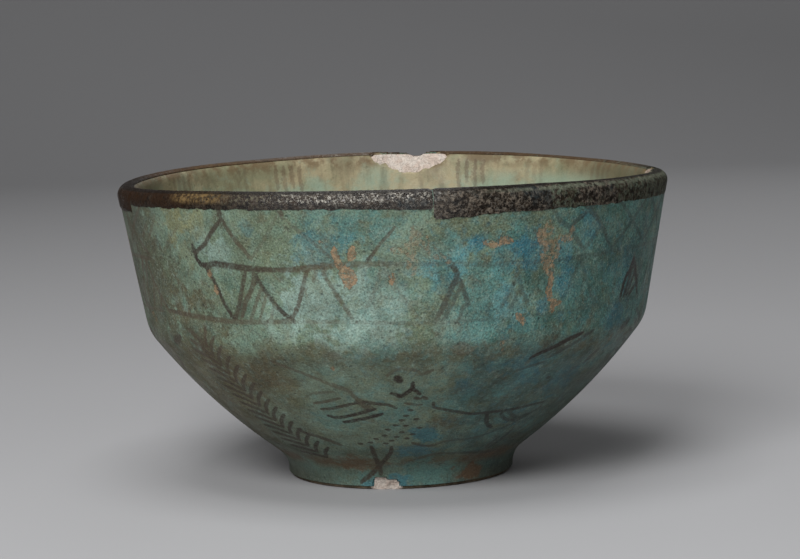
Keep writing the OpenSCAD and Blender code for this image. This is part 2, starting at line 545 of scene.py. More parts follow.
class TurningTree:
    """Geometry Nodes that turn an outline about the axis, lay on a stroke's relief, chip it and warp it."""

    INPUTS = {
        "Outline": "Geometry", "Columns": "Int", "Start": "Float", "Sweep": "Float",
        "Relief": "Float", "Raggedness": "Float", "Start Drop": "Float", "End Drop": "Float",
        "Sink": "Float", "Seed": "Float", "Material": "Material",
    }
    MERGE = 0.001 * MM
    SHARP = math.radians(38)
    END_TAPER = 0.9 * MM
    END_CORNER = 0.5
    DROP_REACH = 20 * MM
    RELIEF_SCALE = 34.0
    RELIEF_LEAST = 0.7
    RELIEF_SWING = 0.6
    WORN_SIDE = (0.45, 0.65)
    WORN_RELIEF = 0.35
    RAGGED_SCALE = 22.0

    def __init__(self, form: BowlForm, hand: Handwork) -> None:
        """Builds the tree.

        Args:
            form: the bowl's sizes.
            hand: how far it strays from them.
        """
        self.form = form
        self.hand = hand
        self.graph = Graph.group("turned piece", TreeKind.SHAPE, self.INPUTS, {"Piece": "Geometry"})
        self.chip = self._chip_group()
        self._fill()

    def _chip_group(self) -> Graph:
        """Returns a group that presses points inside a rough ball onto its face, or just behind it."""
        sockets = {"Position": "Vector", "Centre": "Vector", "Radius": "Float", "Spall": "Float",
                   "Sink": "Float"}
        g = Graph.group("ball chip", TreeKind.SHAPE, sockets, {"Position": "Vector"})
        position, centre, radius = (g.source[name] for name in ("Position", "Centre", "Radius"))
        away = g.vector("SUBTRACT", position, centre)
        heading = g.vector("NORMALIZE", away)
        spot = g.vector("ADD", centre, g.vector("SCALE", heading, radius))
        grain = g.noise(spot, 1 / (self.hand.chip_grain * MM))
        rough = g.times(g.math("SUBTRACT", grain, 0.5), 2 * self.hand.chip_roughness * MM)
        face = g.math("ADD", radius, rough)
        pressed = g.vector("SCALE", heading, g.math("ADD", face, g.source["Sink"]))
        inside = g.math("LESS_THAN", g.vector("LENGTH", away), g.math("ADD", face, g.source["Spall"]))
        choice = {"Switch": inside, "False": position, "True": g.vector("ADD", centre, pressed)}
        g.feed(g.sink["Position"], g.first("GeometryNodeSwitch", choice, input_type="VECTOR"))
        return g

    def _sample(self, row: Socket, value: Socket, kind: str) -> Socket:
        """Returns a value of the outline at a row."""
        inputs = {"Geometry": self.graph.source["Outline"], "Value": value, "Index": row}
        return self.graph.first("GeometryNodeSampleIndex", inputs, data_type=kind, domain="POINT")

    def _fill(self) -> None:
        """Fills the tree, from the grid of points to the finished mesh."""
        g = self.graph
        source = g.source
        size = g.add("GeometryNodeAttributeDomainSize", {"Geometry": source["Outline"]}, component="MESH")
        rows = size.outputs["Point Count"]
        corners = {"Vertices X": g.whole("ADD", source["Columns"], 1), "Vertices Y": rows}
        grid = g.add("GeometryNodeMeshGrid", corners)
        index = g.first("GeometryNodeInputIndex")
        row = g.whole("MODULO", index, rows)
        turn = g.math("DIVIDE", g.whole("DIVIDE_FLOOR", index, rows), source["Columns"])
        azimuth = g.math("RADIANS", g.line(source["Sweep"], turn, source["Start"]))
        turned = self._turned(row, turn, azimuth)
        for chip in bowl_chips(self.form):
            spall = g.times(source["Sink"], chip.spall)
            turned = g.place(self.chip, Position=turned, Centre=chip.centre, Radius=chip.radius * MM,
                             Spall=spall, Sink=source["Sink"])[0]
        stored = {"Geometry": grid.outputs["Mesh"], "Name": "turned", "Value": turned}
        piece = g.first("GeometryNodeStoreNamedAttribute", stored, data_type="FLOAT_VECTOR", domain="POINT")
        moved = {"Geometry": piece, "Position": self._warped(turned, azimuth)}
        piece = g.first("GeometryNodeSetPosition", moved)
        piece = g.first("GeometryNodeMergeByDistance", {"Geometry": piece, "Distance": self.MERGE})
        piece = g.first("GeometryNodeSetShadeSmooth", {0: piece}, domain="FACE")
        fold = g.add("GeometryNodeInputMeshEdgeAngle").outputs["Unsigned Angle"]
        sharp = g.math("GREATER_THAN", fold, self.SHARP)
        crisp = {0: piece, "Selection": sharp, "Shade Smooth": False}
        piece = g.first("GeometryNodeSetShadeSmooth", crisp, domain="EDGE")
        piece = g.first("GeometryNodeRealizeInstances", {0: piece})
        piece = g.first("GeometryNodeSetMaterial", {0: piece, "Material": source["Material"]})
        g.feed(g.sink["Piece"], piece)

    def _turned(self, row: Socket, turn: Socket, azimuth: Socket) -> Socket:
        """Turns the outline.

        Args:
            row: index of the outline's point.
            turn: share of the sweep.
            azimuth: angle round the axis, in radians.

        Returns:
            The point's place before chips and warp.
        """
        g = self.graph
        source = g.source
        sine, cosine = g.math("SINE", azimuth), g.math("COSINE", azimuth)
        ring = g.combine(sine, cosine, source["Seed"])
        position = self._sample(row, g.first("GeometryNodeInputPosition"), "FLOAT_VECTOR")
        height = g.split(position)[2]
        teeth = g.noise(ring, self.RAGGED_SCALE, detail=4.0, roughness=0.6)
        ragged = g.times(g.math("SUBTRACT", teeth, 0.5), 2.0, source["Raggedness"])
        length = g.times(g.math("RADIANS", source["Sweep"]), self.form.rim_d / 2 * MM)
        begun = g.times(turn, length)
        left = g.math("SUBTRACT", length, begun)
        end = g.math("MINIMUM", begun, left)
        for reach, drop in ((begun, source["Start Drop"]), (left, source["End Drop"])):
            ragged = g.line(g.smooth(reach, self.DROP_REACH, 0.0), drop, ragged)
        corner = g.smooth(end, self.END_CORNER * MM, 0.0)
        ragged = g.line(corner, -self.END_CORNER, ragged)
        pull = self._sample(row, g.named("pull", "FLOAT_VECTOR"), "FLOAT_VECTOR")
        position = g.vector("ADD", position, g.vector("SCALE", pull, ragged))
        taper = g.smooth(end, 0.0, self.END_TAPER)
        lumps = g.combine(sine, cosine, g.times(height, 1 / (self.form.rim_d / 2 * MM)))
        lumps = g.noise(lumps, self.RELIEF_SCALE)
        swell = g.line(lumps, self.RELIEF_SWING, self.RELIEF_LEAST)
        swell = g.times(swell, g.fade(g.smooth(sine, *self.WORN_SIDE), 1.0, self.WORN_RELIEF))
        relief = g.times(source["Relief"], taper, swell)
        lift = g.times(self._sample(row, g.named("lift", "FLOAT"), "FLOAT"), relief)
        out = self._sample(row, g.named("out", "FLOAT_VECTOR"), "FLOAT_VECTOR")
        radius, _, height = g.split(g.vector("ADD", position, g.vector("SCALE", out, lift)))
        return g.combine(g.times(radius, sine), g.times(radius, cosine, -1.0), height)

    def _warped(self, turned: Socket, azimuth: Socket) -> Socket:
        """Warps a turned place by the saddle and heave of the rim and the unevenness of the wall.

        Args:
            turned: the place on the true turned form.
            azimuth: angle round the axis, in radians.

        Returns:
            The place on the bowl, the same at the foot and strayed furthest at the rim.
        """
        g = self.graph
        height = g.math("DIVIDE", g.split(turned)[2], self.form.bowl_h * MM)
        saddle = g.times(g.math("COSINE", g.times(azimuth, 2.0)), self.hand.saddle * MM)
        for heave in self.hand.heaves:
            facing = g.math("COSINE", g.math("SUBTRACT", azimuth, math.radians(heave.azimuth)))
            swell = g.math("POWER", g.math("MAXIMUM", facing, 0.0), heave.sharpness)
            saddle = g.line(swell, heave.rise * MM, saddle)
        saddle = g.times(saddle, g.times(height, height))
        offset = g.vector("ADD", turned, (self.hand.seed, 0.0, 0.0))
        noise = g.noise(offset, 1 / (self.hand.wobble_span * MM), detail=1.0, output="Color")
        stray = g.vector("SUBTRACT", noise, (0.5, 0.5, 0.5))
        stray = g.vector("SCALE", stray, 2 * self.hand.wobble * MM)
        stray = g.vector("SCALE", stray, height)
        return g.vector("ADD", g.vector("ADD", turned, stray), g.combine(0.0, 0.0, saddle))


class BrushTree:
    """Geometry Nodes that note on a glaze, at each point, the nearest brush mark and the nearest loss."""

    INPUTS = {"Coat": "Geometry", "Marks": "Object", "Losses": "Object", "Material": "Material"}

    def __init__(self) -> None:
        """Builds the tree."""
        self.graph = Graph.group("brush work", TreeKind.SHAPE, self.INPUTS, {"Coat": "Geometry"})
        g = self.graph
        coat = g.source["Coat"]
        for lines, label in (("Marks", "mark"), ("Losses", "loss")):
            coat = self._noted(coat, lines, label)
        coat = g.first("GeometryNodeRealizeInstances", {0: coat})
        coat = g.first("GeometryNodeSetMaterial", {0: coat, "Material": g.source["Material"]})
        g.feed(g.sink["Coat"], coat)

    def _noted(self, coat: Socket, lines: str, label: str) -> Socket:
        """Notes the nearest line of one set.

        Args:
            coat: the glaze.
            lines: name of the input that holds the lines.
            label: start of the names of the two attributes.

        Returns:
            The glaze with the step to the line and the line's ink, half width and distance, in millimetres.
        """
        g = self.graph
        turned = g.named("turned", "FLOAT_VECTOR")
        info = g.add("GeometryNodeObjectInfo", {"Object": g.source[lines]})
        line = info.outputs["Geometry"]
        near = g.add("GeometryNodeProximity", {0: line, "Sample Position": turned}, target_element="EDGES")
        place, distance = near.outputs["Position"], near.outputs["Distance"]
        step = g.vector("SCALE", g.vector("SUBTRACT", place, turned), 1 / MM)
        nearest = g.first("GeometryNodeSampleNearest", {0: line, "Sample Position": place}, domain="POINT")
        values = []
        for name in ("ink", "half_width"):
            inputs = {"Geometry": line, "Value": g.named(name, "FLOAT"), "Index": nearest}
            values.append(g.first("GeometryNodeSampleIndex", inputs, data_type="FLOAT", domain="POINT"))
        facts = g.combine(*values, g.math("DIVIDE", distance, MM))
        for name, value in ((label + "_step", step), (label + "_facts", facts)):
            inputs = {"Geometry": coat, "Name": name, "Value": value}
            settings = {"data_type": "FLOAT_VECTOR", "domain": "POINT"}
            coat = g.first("GeometryNodeStoreNamedAttribute", inputs, **settings)
        return coat


def applied(
    name: str, mesh: bpy.types.Mesh, steps: Iterable[tuple[Graph, Mapping[str, object]]]
) -> Piece:
    """Runs Geometry Nodes on a mesh and keeps the result as a plain mesh.

    Args:
        name: name of the piece.
        mesh: what the first tree starts from.
        steps: trees to run in turn, each with the values of its named inputs.

    Returns:
        The piece, at the origin and with no modifier.
    """
    piece = bpy.data.objects.new(name, mesh)
    bpy.context.scene.collection.objects.link(piece)
    for graph, values in steps:
        modifier = piece.modifiers.new(graph.tree.name, "NODES")
        modifier.node_group = graph.tree
        sockets = {s.name: s.identifier for s in graph.tree.interface.items_tree if s.in_out == "INPUT"}
        for label, value in values.items():
            modifier[sockets[label]] = value
    depsgraph = bpy.context.evaluated_depsgraph_get()
    finished = bpy.data.meshes.new_from_object(piece.evaluated_get(depsgraph), depsgraph=depsgraph)
    piece.modifiers.clear()
    piece.data = finished
    finished.name = name
    return piece


@dataclass(frozen=True)
class Stroke:
    """One pull of the brush, or one long loss of glaze, given by places on the wall."""

    places: tuple[Place, ...]
    half_width: float
    ink: float
    fade: float = 1.0

    @classmethod
    def rows(cls, *rows: tuple[float | Place, ...]) -> tuple["Stroke", ...]:
        """Returns strokes from rows of half width, ink, fade where there is one, and then the places."""
        strokes = []
        for row in rows:
            places = tuple(entry for entry in row if isinstance(entry, tuple))
            strokes.append(cls(places, *row[:len(row) - len(places)]))
        return tuple(strokes)

    def turned(self, degrees: float, strength: float) -> "Stroke":
        """Returns the same stroke further round the bowl, with its ink times a strength."""
        places = tuple((azimuth + degrees, height) for azimuth, height in self.places)
        return Stroke(places, self.half_width, self.ink * strength, self.fade)


class StrokeLines:
    """Brush strokes laid on the wall as fine chains of points."""

    SPACING = 0.5
    SLOPE = 1.4
    TIP = 0.75
    TIP_SHARE = 1 / 6

    def __init__(self, form: BowlForm, hand: Handwork, side: Side) -> None:
        """Takes the bowl's sizes, how far it strays and the face of the wall that is painted."""
        self.form = form
        self.hand = hand
        self.side = side

    def _smoothed(self, stroke: Stroke) -> np.ndarray:
        """Returns the stroke's places along a smooth curve, closely spaced."""
        places = np.array(stroke.places, float)
        if len(places) == 2:
            places = np.vstack((places[0], places.mean(axis=0), places[1]))
        ends = np.vstack((2 * places[0] - places[1], places, 2 * places[-1] - places[-2]))
        curve = [places[:1]]
        for p0, p1, p2, p3 in zip(ends, ends[1:], ends[2:], ends[3:]):
            reach = np.linalg.norm((p2 - p1) * (math.radians(self.form.rim_d / 2), self.SLOPE))
            share = np.linspace(0, 1, max(3, math.ceil(reach / self.SPACING)) + 1)[1:, None]
            curve.append(0.5 * (2 * p1 + (p2 - p0) * share + (2 * p0 - 5 * p1 + 4 * p2 - p3) * share ** 2
                                + (3 * p1 - p0 - 3 * p2 + p3) * share ** 3))
        return np.vstack(curve)

    def object(self, name: str, strokes: Iterable[Stroke]) -> Piece:
        """Lays strokes on the wall.

        Args:
            name: name of the object.
            strokes: the strokes.

        Returns:
            A mesh of edges with the attributes ink and half_width, to be removed after use.
        """
        points, edges, inks, widths = [], [], [], []
        for stroke in strokes:
            places = self._smoothed(stroke)
            start = len(points)
            around = np.radians(places[:, 0])
            height = places[:, 1] - self.hand.lift(around) * (places[:, 1] / self.form.bowl_h) ** 2
            radius = self.form.radius_at(self.side, height)
            points.extend(np.column_stack((radius * np.sin(around), -radius * np.cos(around), height)) * MM)
            edges.extend((i, i + 1) for i in range(start, len(points) - 1))
            share = np.linspace(0, 1, len(places))
            inks.extend(stroke.ink * (1 + (stroke.fade - 1) * share))
            tip = np.minimum(1, np.minimum(share, 1 - share) / self.TIP_SHARE)
            widths.extend(stroke.half_width * (self.TIP + (1 - self.TIP) * tip))
        mesh = bpy.data.meshes.new(name)
        mesh.from_pydata(points, edges, [])
        mesh.attributes.new("ink", "FLOAT", "POINT").data.foreach_set("value", np.array(inks))
        mesh.attributes.new("half_width", "FLOAT", "POINT").data.foreach_set("value", np.array(widths))
        lines = bpy.data.objects.new(name, mesh)
        bpy.context.scene.collection.objects.link(lines)
        return lines


@dataclass(frozen=True)
class PaintedDesign:
    """The traditional brush drawing: a net, a frieze of hatched triangles, fronds, fish and reeds.

    The strokes and losses that show at the front are given one by one, each as it was pulled.
    """

    net_top: float = 77.6
    net_foot: float = 65.0
    net_start: float = 50.0
    net_end: float = 296.0
    lozenges: int = 18
    net_bow: float = 0.6
    net_bow_turn: float = 1.7
    net_half_width: float = 0.55
    net_ink: float = 0.42
    frieze_top: float = 63.4
    frieze_foot: float = 50.2
    triangle_half: float = 7.0
    triangle_step: float = 14.5
    upper_rule: float = 63.6
    lower_rule: float = 49.8
    rule_start: float = 72.0
    upper_rule_end: float = 296.0
    lower_rule_end: float = 298.0
    chevrons: int = 16
    frond_top: Place = (-47.6, 42.0)
    frond_run: float = 9.0
    frond_curl: float = 5.0
    frond_fall: float = 39.5
    frond_level: float = 6.8
    hidden_start: float = 75.0
    hidden_end: float = 302.0
    figure_turns: tuple[tuple[float, float], ...] = ((0, 1.0), (120, 0.85), (240, 0.75))
    waver: float = 0.3
    waver_span: float = 9.0
    tick_step: float = 2.1
    tick_top: float = 80.6
    tick_waist: float = 77.5
    tick_foot: float = 73.2
    inner_rule: float = 68.5
    tick_groups: tuple[tuple[float, float, int], ...] = (
        (159.3, 0.9, 4), (206, 0.8, 4), (219, 0.5, 2), (142, 0.35, 3), (171, 0.35, 2), (191, 0.3, 2),
        (240, 0.5, 4), (120, 0.5, 4), (268, 0.6, 5), (92, 0.55, 5), (300, 0.6, 4), (330, 0.5, 4),
        (0, 0.55, 5), (30, 0.5, 4), (62, 0.6, 5),
    )
    front_net: tuple[Stroke, ...] = Stroke.rows(
        (0.75, 0.85, (-37, 79), (-36.8, 76.6)),
        (0.6, 0.85, (-36.8, 76), (-40.4, 71.8), (-42, 69.6), (-44.2, 67.9), (-45.6, 66.6)),
        (0.62, 1.0, (-45.9, 69), (-45.6, 66.8), (-45.3, 65.4), (-44, 63.9)),
        (0.6, 0.85, 0.6, (-36.7, 76.6), (-35.4, 73.6), (-34, 71), (-32.2, 68.4), (-30.7, 66)),
        (0.65, 0.7, (-23, 79), (-22.6, 77)), (0.5, 0.26, (-22.6, 77), (-18, 72), (-13, 66.4)),
        (0.5, 0.2, (-31, 66), (-27, 71.5), (-24, 77)),
        (0.42, 0.5, 1.6, (-0.4, 74.6), (-1.4, 73), (-3.3, 70.4), (-4.8, 67.9), (-5.9, 65.7)),
        (0.8, 0.9, (-5.6, 66.6), (-6, 65.8)), (0.6, 0.4, (31.6, 77.2), (33.6, 73.9), (36.7, 71.4)),
        (0.65, 0.48, (42.4, 76.8), (39.2, 74.2), (36.7, 72), (37.8, 69.6), (41, 65.4)),
        (0.65, 0.5, (39.4, 77.6), (43.2, 74), (45.2, 71.6), (47.3, 68.4), (49, 65.6)),
        (0.55, 0.3, (45.2, 71.4), (43, 68), (41, 65.4)),
        (0.55, 0.32, (-57.6, 76), (-59.2, 73.4), (-61.8, 70.2)),
        (0.55, 0.32, (-62.6, 73), (-65.5, 69.6)), (0.5, 0.16, (-49.2, 74), (-53.8, 69.6), (-57, 66)),
    )
    front_frieze: tuple[Stroke, ...] = Stroke.rows(
        (0.58, 0.9, (-43.2, 63.6), (-40.8, 58.9), (-39.4, 54.3), (-37.1, 50)),
        (0.62, 0.8, (-32.4, 63.4), (-34, 58.2), (-35.8, 52.9), (-37, 50)),
        (0.66, 0.7, (-30.5, 63.2), (-31.2, 59.3), (-33.5, 55), (-35, 51)),
        (0.58, 0.9, (-30.5, 63), (-29.6, 60.6), (-27.9, 57.2), (-25.4, 53.2), (-22.5, 50.2)),
        (0.5, 0.5, (-29.4, 58.6), (-31.3, 53.9), (-32.9, 50.4)), (0.45, 0.45, (-28.2, 57), (-30.4, 51)),
        (0.45, 0.4, (-26.6, 55), (-27.9, 50.6)),
        (0.58, 0.68, (-18.5, 64), (-19.9, 58.9), (-21.3, 54.3), (-22.8, 51.2)),
        (0.5, 0.42, (-16.3, 64.3), (-17.5, 60.6)), (0.5, 0.45, (-15, 65.6), (-15.1, 62.2)),
        (0.58, 0.6, 0.65, (-15, 62.4), (-13.1, 57.9), (-11, 53.6), (-9.5, 50.2)),
        (0.5, 0.2, (-3.6, 63.6), (-4.8, 58.6), (-7.6, 52)),
        (0.5, 0.2, (-2.6, 63.4), (0.4, 57), (4, 50.6)),
        (0.72, 0.84, 0.68, (10.1, 64.8), (11.7, 61.8), (10.4, 57.9), (8.8, 53.2), (7.3, 50)),
        (0.66, 0.7, 0.85, (12, 60.8), (13, 57.9), (14.3, 53.6)),
        (0.55, 0.45, (12.5, 58.6), (10.8, 54.3), (9, 50.4)), (0.5, 0.36, (13.2, 53.8), (12.2, 49.6)),
        (0.62, 0.46, 0.75, (24.6, 62.6), (24, 58.6), (21.4, 52.6)),
        (0.62, 0.42, 0.6, (24.7, 61), (25.9, 56.8), (27.6, 52.4)),
        (0.5, 0.24, (25.4, 57.4), (23.6, 51.8)), (0.5, 0.2, (39.8, 63), (38, 57), (35.6, 51)),
        (0.5, 0.2, (40.6, 62.6), (43, 57), (46, 51)),
    )
    edge_triangle: tuple[Stroke, ...] = Stroke.rows(
        (0.66, 1.0, (60.3, 61), (59.2, 58), (57.4, 55.4), (56.2, 50.6)),
        (0.66, 0.95, (60.5, 60.6), (62.4, 57), (65.6, 50.8)), (0.6, 0.85, (60.6, 59.4), (58, 51)),
        (0.6, 0.85, (61.8, 56.52), (59.2, 51)), (0.6, 0.85, (63.2, 53.16), (60.6, 51)),
    )
    fish_head: tuple[Stroke, ...] = Stroke.rows(
        (1.1, 1.0, (-1.0, 35.1), (-0.4, 34)),
        (0.62, 1.0, (-2.7, 30.5), (-1.4, 30.1), (-0.2, 29.5), (1.4, 30.6), (2.6, 31.8), (2.7, 33.5)),
        (0.5, 0.95, (2.8, 31.7), (4.6, 30)),
        (0.5, 0.45, (-3.4, 35.6), (-2, 36.8), (0, 37.6), (3.4, 36.9), (4.6, 35.6)),
        (0.55, 0.6, (5.4, 35.9), (7.2, 36.9)), (0.6, 0.85, (3.4, 28.9), (4.4, 28.6)),
        (0.6, 0.75, (5.6, 29.1), (6.4, 28.4)), (0.45, 0.65, (0.8, 27.4), (3, 26.9), (5.3, 26.7)),
    )
    fish_back: tuple[Stroke, ...] = Stroke.rows(
        (0.55, 0.45, (-30, 39.4), (-22.6, 36), (-16.7, 32.8), (-12.6, 30.7)),
        (0.65, 0.55, (-16.8, 33.2), (-13.1, 31.4), (-12.2, 29.7), (-10.3, 28.2)),
        (0.58, 0.85, (-10.3, 28.2), (-6.5, 27.4), (-3.8, 27.1), (-1.6, 26)),
        (1.0, 0.7, (-11.4, 28.2), (-9.9, 26.8), (-8, 25.8)),
    )
    fish_stripes: tuple[Stroke, ...] = Stroke.rows(
        (0.5, 0.4, (-23, 30.4), (-17, 31)), (0.52, 0.65, (-23.9, 27.3), (-20, 28), (-16, 29.1)),
        (0.55, 0.85, (-22.4, 25.6), (-19, 25.9), (-16.4, 26.6), (-12.2, 27.6)),
        (0.62, 0.95, (-21.4, 23.6), (-18.8, 23), (-15, 23.7), (-11.8, 24.5), (-7.3, 25.8)),
        (0.66, 1.0, (-17.4, 21.6), (-11.5, 22.7), (-5.5, 24.3)),
    )
    fish_scales: tuple[Place, ...] = (
        (-15.4, 14.7), (-11.7, 15.1), (-9.4, 16.3), (-6.4, 14.8), (-6.4, 17.4), (-4.2, 15.7), (-5, 19.3),
        (-2.4, 16.9), (-0.8, 18.4), (1, 16.3), (2.9, 17.6), (-2.6, 20.6), (0.4, 20.4), (0.5, 23.6),
        (-0.7, 22.2), (1.7, 25.3), (3.6, 22.4), (4.6, 19.6),
    )
    fish_tail: tuple[Stroke, ...] = Stroke.rows(
        (0.65, 0.85, (-11.3, 13.7), (-11.1, 9), (-10.5, 4.4)),
        (0.65, 0.85, (-4, 13.6), (-4.8, 11.4), (-8.6, 8.2), (-14, 5), (-21, 2)),
    )
    striped_fish: tuple[Stroke, ...] = Stroke.rows(
        (0.55, 0.8, (8.4, 27.2), (8.8, 25.8), (11.7, 24.9), (15.2, 24), (20.8, 22.8), (25.4, 22.8),
         (33.4, 22.7), (41, 23.2), (46, 23.4)),
        (0.5, 0.45, (12, 13.6), (16, 14.6), (22, 14.7), (28, 15.1), (34.5, 16.6), (39, 18), (46, 21.6)),
        (0.55, 0.7, (3.4, 14.8), (5, 14.2), (7.9, 13.5), (12, 13.5)),
        (0.62, 0.85, (25.8, 22.4), (26.6, 20.6), (28, 19), (30.6, 17.6)),
        (0.55, 0.75, (30.6, 22), (32, 20.9), (34.4, 19.7), (38.4, 18.8)),
        (0.5, 0.55, (33, 22.3), (36, 20.8), (39.6, 19.6), (42.4, 20.4)),
        (0.62, 0.7, (41.6, 15.6), (41, 14), (39.6, 12), (38, 10.7)),
        (0.55, 0.6, (38, 13.9), (36.6, 12.6), (35.4, 11)),
        (0.6, 0.55, (4, 8.6), (7, 9.2), (13, 10.5), (21, 10.2), (29, 9.8), (39, 9), (46, 9.2)),
        (0.7, 0.7, (39.9, 31.4), (40.6, 31.1)),
    )
    reeds: tuple[Stroke, ...] = Stroke.rows(
        (0.68, 1.0, (30.7, 38), (32, 38.8), (35, 40), (40, 42.1), (43.7, 43.2)),
        (0.5, 0.55, (28.4, 34.8), (35.2, 36.4)),
        (0.55, 0.58, (36.5, 37.6), (41, 40), (45, 42.2), (47.4, 43.4)),
        (1.1, 0.8, (-57, 43.8), (-60, 42.2)), (0.85, 0.75, (-66, 37.2), (-68.5, 34)),
    )
    front_losses: tuple[Stroke, ...] = Stroke.rows(
        (0.95, 1.0, (-12.5, 69), (-12.2, 66.6), (-11.7, 64.4)),
        (1.9, 1.0, (-11.2, 63.8), (-10, 61.8), (-10.2, 60)), (1.1, 1.0, (-9, 69), (-9.3, 66.6)),
        (0.6, 0.8, (-15.5, 71.2), (-15.2, 70.9)), (0.9, 0.8, (-1.4, 62.2), (-1.5, 60.3)),
        (1.5, 0.5, (3.2, 73.8), (3.2, 70.4), (2.6, 66), (2.7, 62.6)),
        (1.5, 0.5, (-1, 68.4), (2.4, 69.2), (4.6, 71.6), (6.4, 68.2), (9.8, 65.6)),
        (1.0, 0.85, (17.2, 69.7), (19.2, 69), (21, 69.8), (22.8, 69.5)),
        (1.9, 0.75, (29.4, 71), (30.4, 68.4), (31.3, 64.4), (32.6, 60.4)),
        (1.5, 0.65, (31, 73.4), (31.4, 70), (33, 67.4), (33.6, 65)),
        (0.95, 1.0, (32.6, 60.4), (32.8, 58), (32.4, 55.4), (33.6, 53), (33.8, 50.4)),
        (0.75, 0.9, (33.6, 52.5), (35.8, 52.1)), (1.1, 0.65, (34.2, 69.5), (36.6, 68.8), (37.2, 71.6)),
        (0.9, 0.9, (25.3, 50.2), (26.8, 48.2)), (0.7, 0.6, (22.4, 44.2), (22.2, 41.2)),
        (0.8, 0.9, (-42.3, 62.4), (-41.9, 61)), (0.8, 0.9, (-41.2, 58.4), (-41, 57)),
        (0.6, 0.8, (-15.6, 38.4), (-15.4, 37.4)), (1.4, 0.5, (-68.4, 47), (-70.6, 48.8)),
    )
    hidden_losses: tuple[Place, ...] = (
        (97, 72), (141, 60), (188, 74), (233, 57), (276, 70), (118, 34), (207, 30),
    )

    def outside(self) -> list[Stroke]:
        """Returns every stroke on the outer wall."""
        figures = [*self.frond(), *self.long_fish(), *self.striped_fish, *self.reeds]
        around = [stroke.turned(*turn) for turn in self.figure_turns for stroke in figures]
        return [*self.front_net, *self.net(), *self.lines(), *self.front_frieze, *self.frieze(), *around]

    def net(self) -> list[Stroke]:
        """Returns the crossed slanting lines of the net on the sides and back, two for each lozenge."""
        step = (self.net_end - self.net_start) / self.lozenges
        strokes = []
        for number in range(self.lozenges):
            start = self.net_start + step * number
            bow = self.net_bow * math.sin(self.net_bow_turn * number)
            for left, right in ((start, start + step), (start + step, start)):
                middle = ((left + right) / 2 + bow, (self.net_top + self.net_foot) / 2)
                places = ((left, self.net_top), middle, (right, self.net_foot))
                strokes.append(Stroke(places, self.net_half_width, self.net_ink))
        return strokes

    def ring(self, height: float, first: float, last: float, half_width: float, ink: float) -> Stroke:
        """Returns a line round the bowl, between two azimuths, by a hand that wavers."""
        turns = np.linspace(first, last, max(3, round((last - first) / self.waver_span)))
        places = tuple((float(a), height + self.waver * math.sin(a / self.waver_span)) for a in turns)
        return Stroke(places, half_width, ink)

    def lines(self) -> list[Stroke]:
        """Returns the lines above and below the frieze."""
        loaded = ((-44.6, 64), (-42, 64), (-40.4, 64.5), (-35.8, 64.2), (-31.3, 63.7), (-26, 63.6))
        spent = ((-26, 63.6), (-22.2, 63.7), (-18.5, 64.2), (-14.9, 64.6), (-9, 65.1), (-5, 65.2), (2, 64.9))
        lower = ((-59, 50.6), (-54, 50.3), (-49.5, 50.1), (-43, 49.8), (-36.8, 49.6), (-31, 49.9),
                 (-22.6, 50.3))
        return [
            Stroke(loaded, 0.78, 0.95, 0.85),
            Stroke(spent, 0.72, 0.75, 0.4),
            Stroke(((2, 64.9), (10, 64.6), (20, 63.8), (34, 63.6), (50, 64)), 0.6, 0.22),
            Stroke(((50, 64), (62, 63.8), (self.rule_start, 63.5)), 0.6, 0.2),
            self.ring(self.upper_rule, self.rule_start, self.upper_rule_end, 0.65, 0.5),
            Stroke(lower, 0.65, 0.75, 0.55),
            Stroke(((-22, 50.2), (-9.7, 50.3), (5, 49.6), (20, 49.6)), 0.5, 0.22),
            Stroke(((20, 49.6), (40, 49.8), (56, 50), (self.rule_start, 49.8)), 0.5, 0.1),
            self.ring(self.lower_rule, self.rule_start, self.lower_rule_end, 0.55, 0.36),
        ]

    def triangle(self, apex: float, ink: float, hatches: int) -> list[Stroke]:
        """Draws one triangle of the frieze.

        Args:
            apex: azimuth of its upper corner.
            ink: how dark it is.
            hatches: number of lines inside it, beside its left edge.

        Returns:
            The two edges, and the hatching beside the left one.
        """
        top, foot, half = self.frieze_top, self.frieze_foot, self.triangle_half
        waist = (top + foot) / 2
        left = Stroke(((apex - 1.5, top), (apex - half * 0.62, waist), (apex - half + 1, foot)), 0.58, ink)
        right = Stroke(((apex + 0.8, top), (apex + half * 0.52, waist), (apex + half + 1, foot)), 0.58, ink)
        strokes = [left, right]
        for number in range(hatches):
            share = number / hatches
            head = (apex + 0.8 + (half + 0.2) * share, top + 0.2 - (top - foot) * share)
            slant = (half - 1.5) * (1 - share) * 0.8
            strokes.append(Stroke((head, (head[0] - slant, foot + 0.8)), 0.5, ink * (0.85 - 0.45 * share)))
        return strokes

    def frieze(self) -> list[Stroke]:
        """Returns the dark triangle at the right edge and the evenly spaced ones behind it."""
        strokes = list(self.edge_triangle)
        for apex in np.arange(self.hidden_start, self.hidden_end, self.triangle_step):
            strokes += self.triangle(float(apex), 0.6 + 0.2 * math.sin(apex), 3)
        return strokes

    def frond(self) -> list[Stroke]:
        """Returns the chevrons of the frond down the lower wall, and the loaded stroke beside the lowest."""
        strokes = []
        for share in np.linspace(0, 1, self.chevrons):
            tip = self.frond_top[0] + self.frond_run * share + self.frond_curl * share ** 6
            height = self.frond_top[1] - self.frond_fall * share + self.frond_level * share ** 2
            reach, rise = 4.9 - 3.6 * (1 - share) ** 8, 6.0 - 2.4 * share
            right = ((tip, height), (tip + 0.35 * reach, height + 0.5 * rise), (tip + reach, height + rise))
            back, lift = 5.2 + 6.3 * share, 4.2 - 3.0 * share
            left = ((tip - back, height + lift), (tip - 0.5 * back, height + 0.6 * lift), (tip, height))
            ink = 0.68 + 0.24 * share
            strokes += [Stroke(right, 0.55, ink), Stroke(left, 0.68, ink)]
        loaded = ((-35, 18.7), (-33.8, 17.6), (-29.5, 16.5), (-25.2, 15.1), (-22.7, 14))
        return [*strokes, Stroke(loaded, 0.75, 0.9, 0.8)]

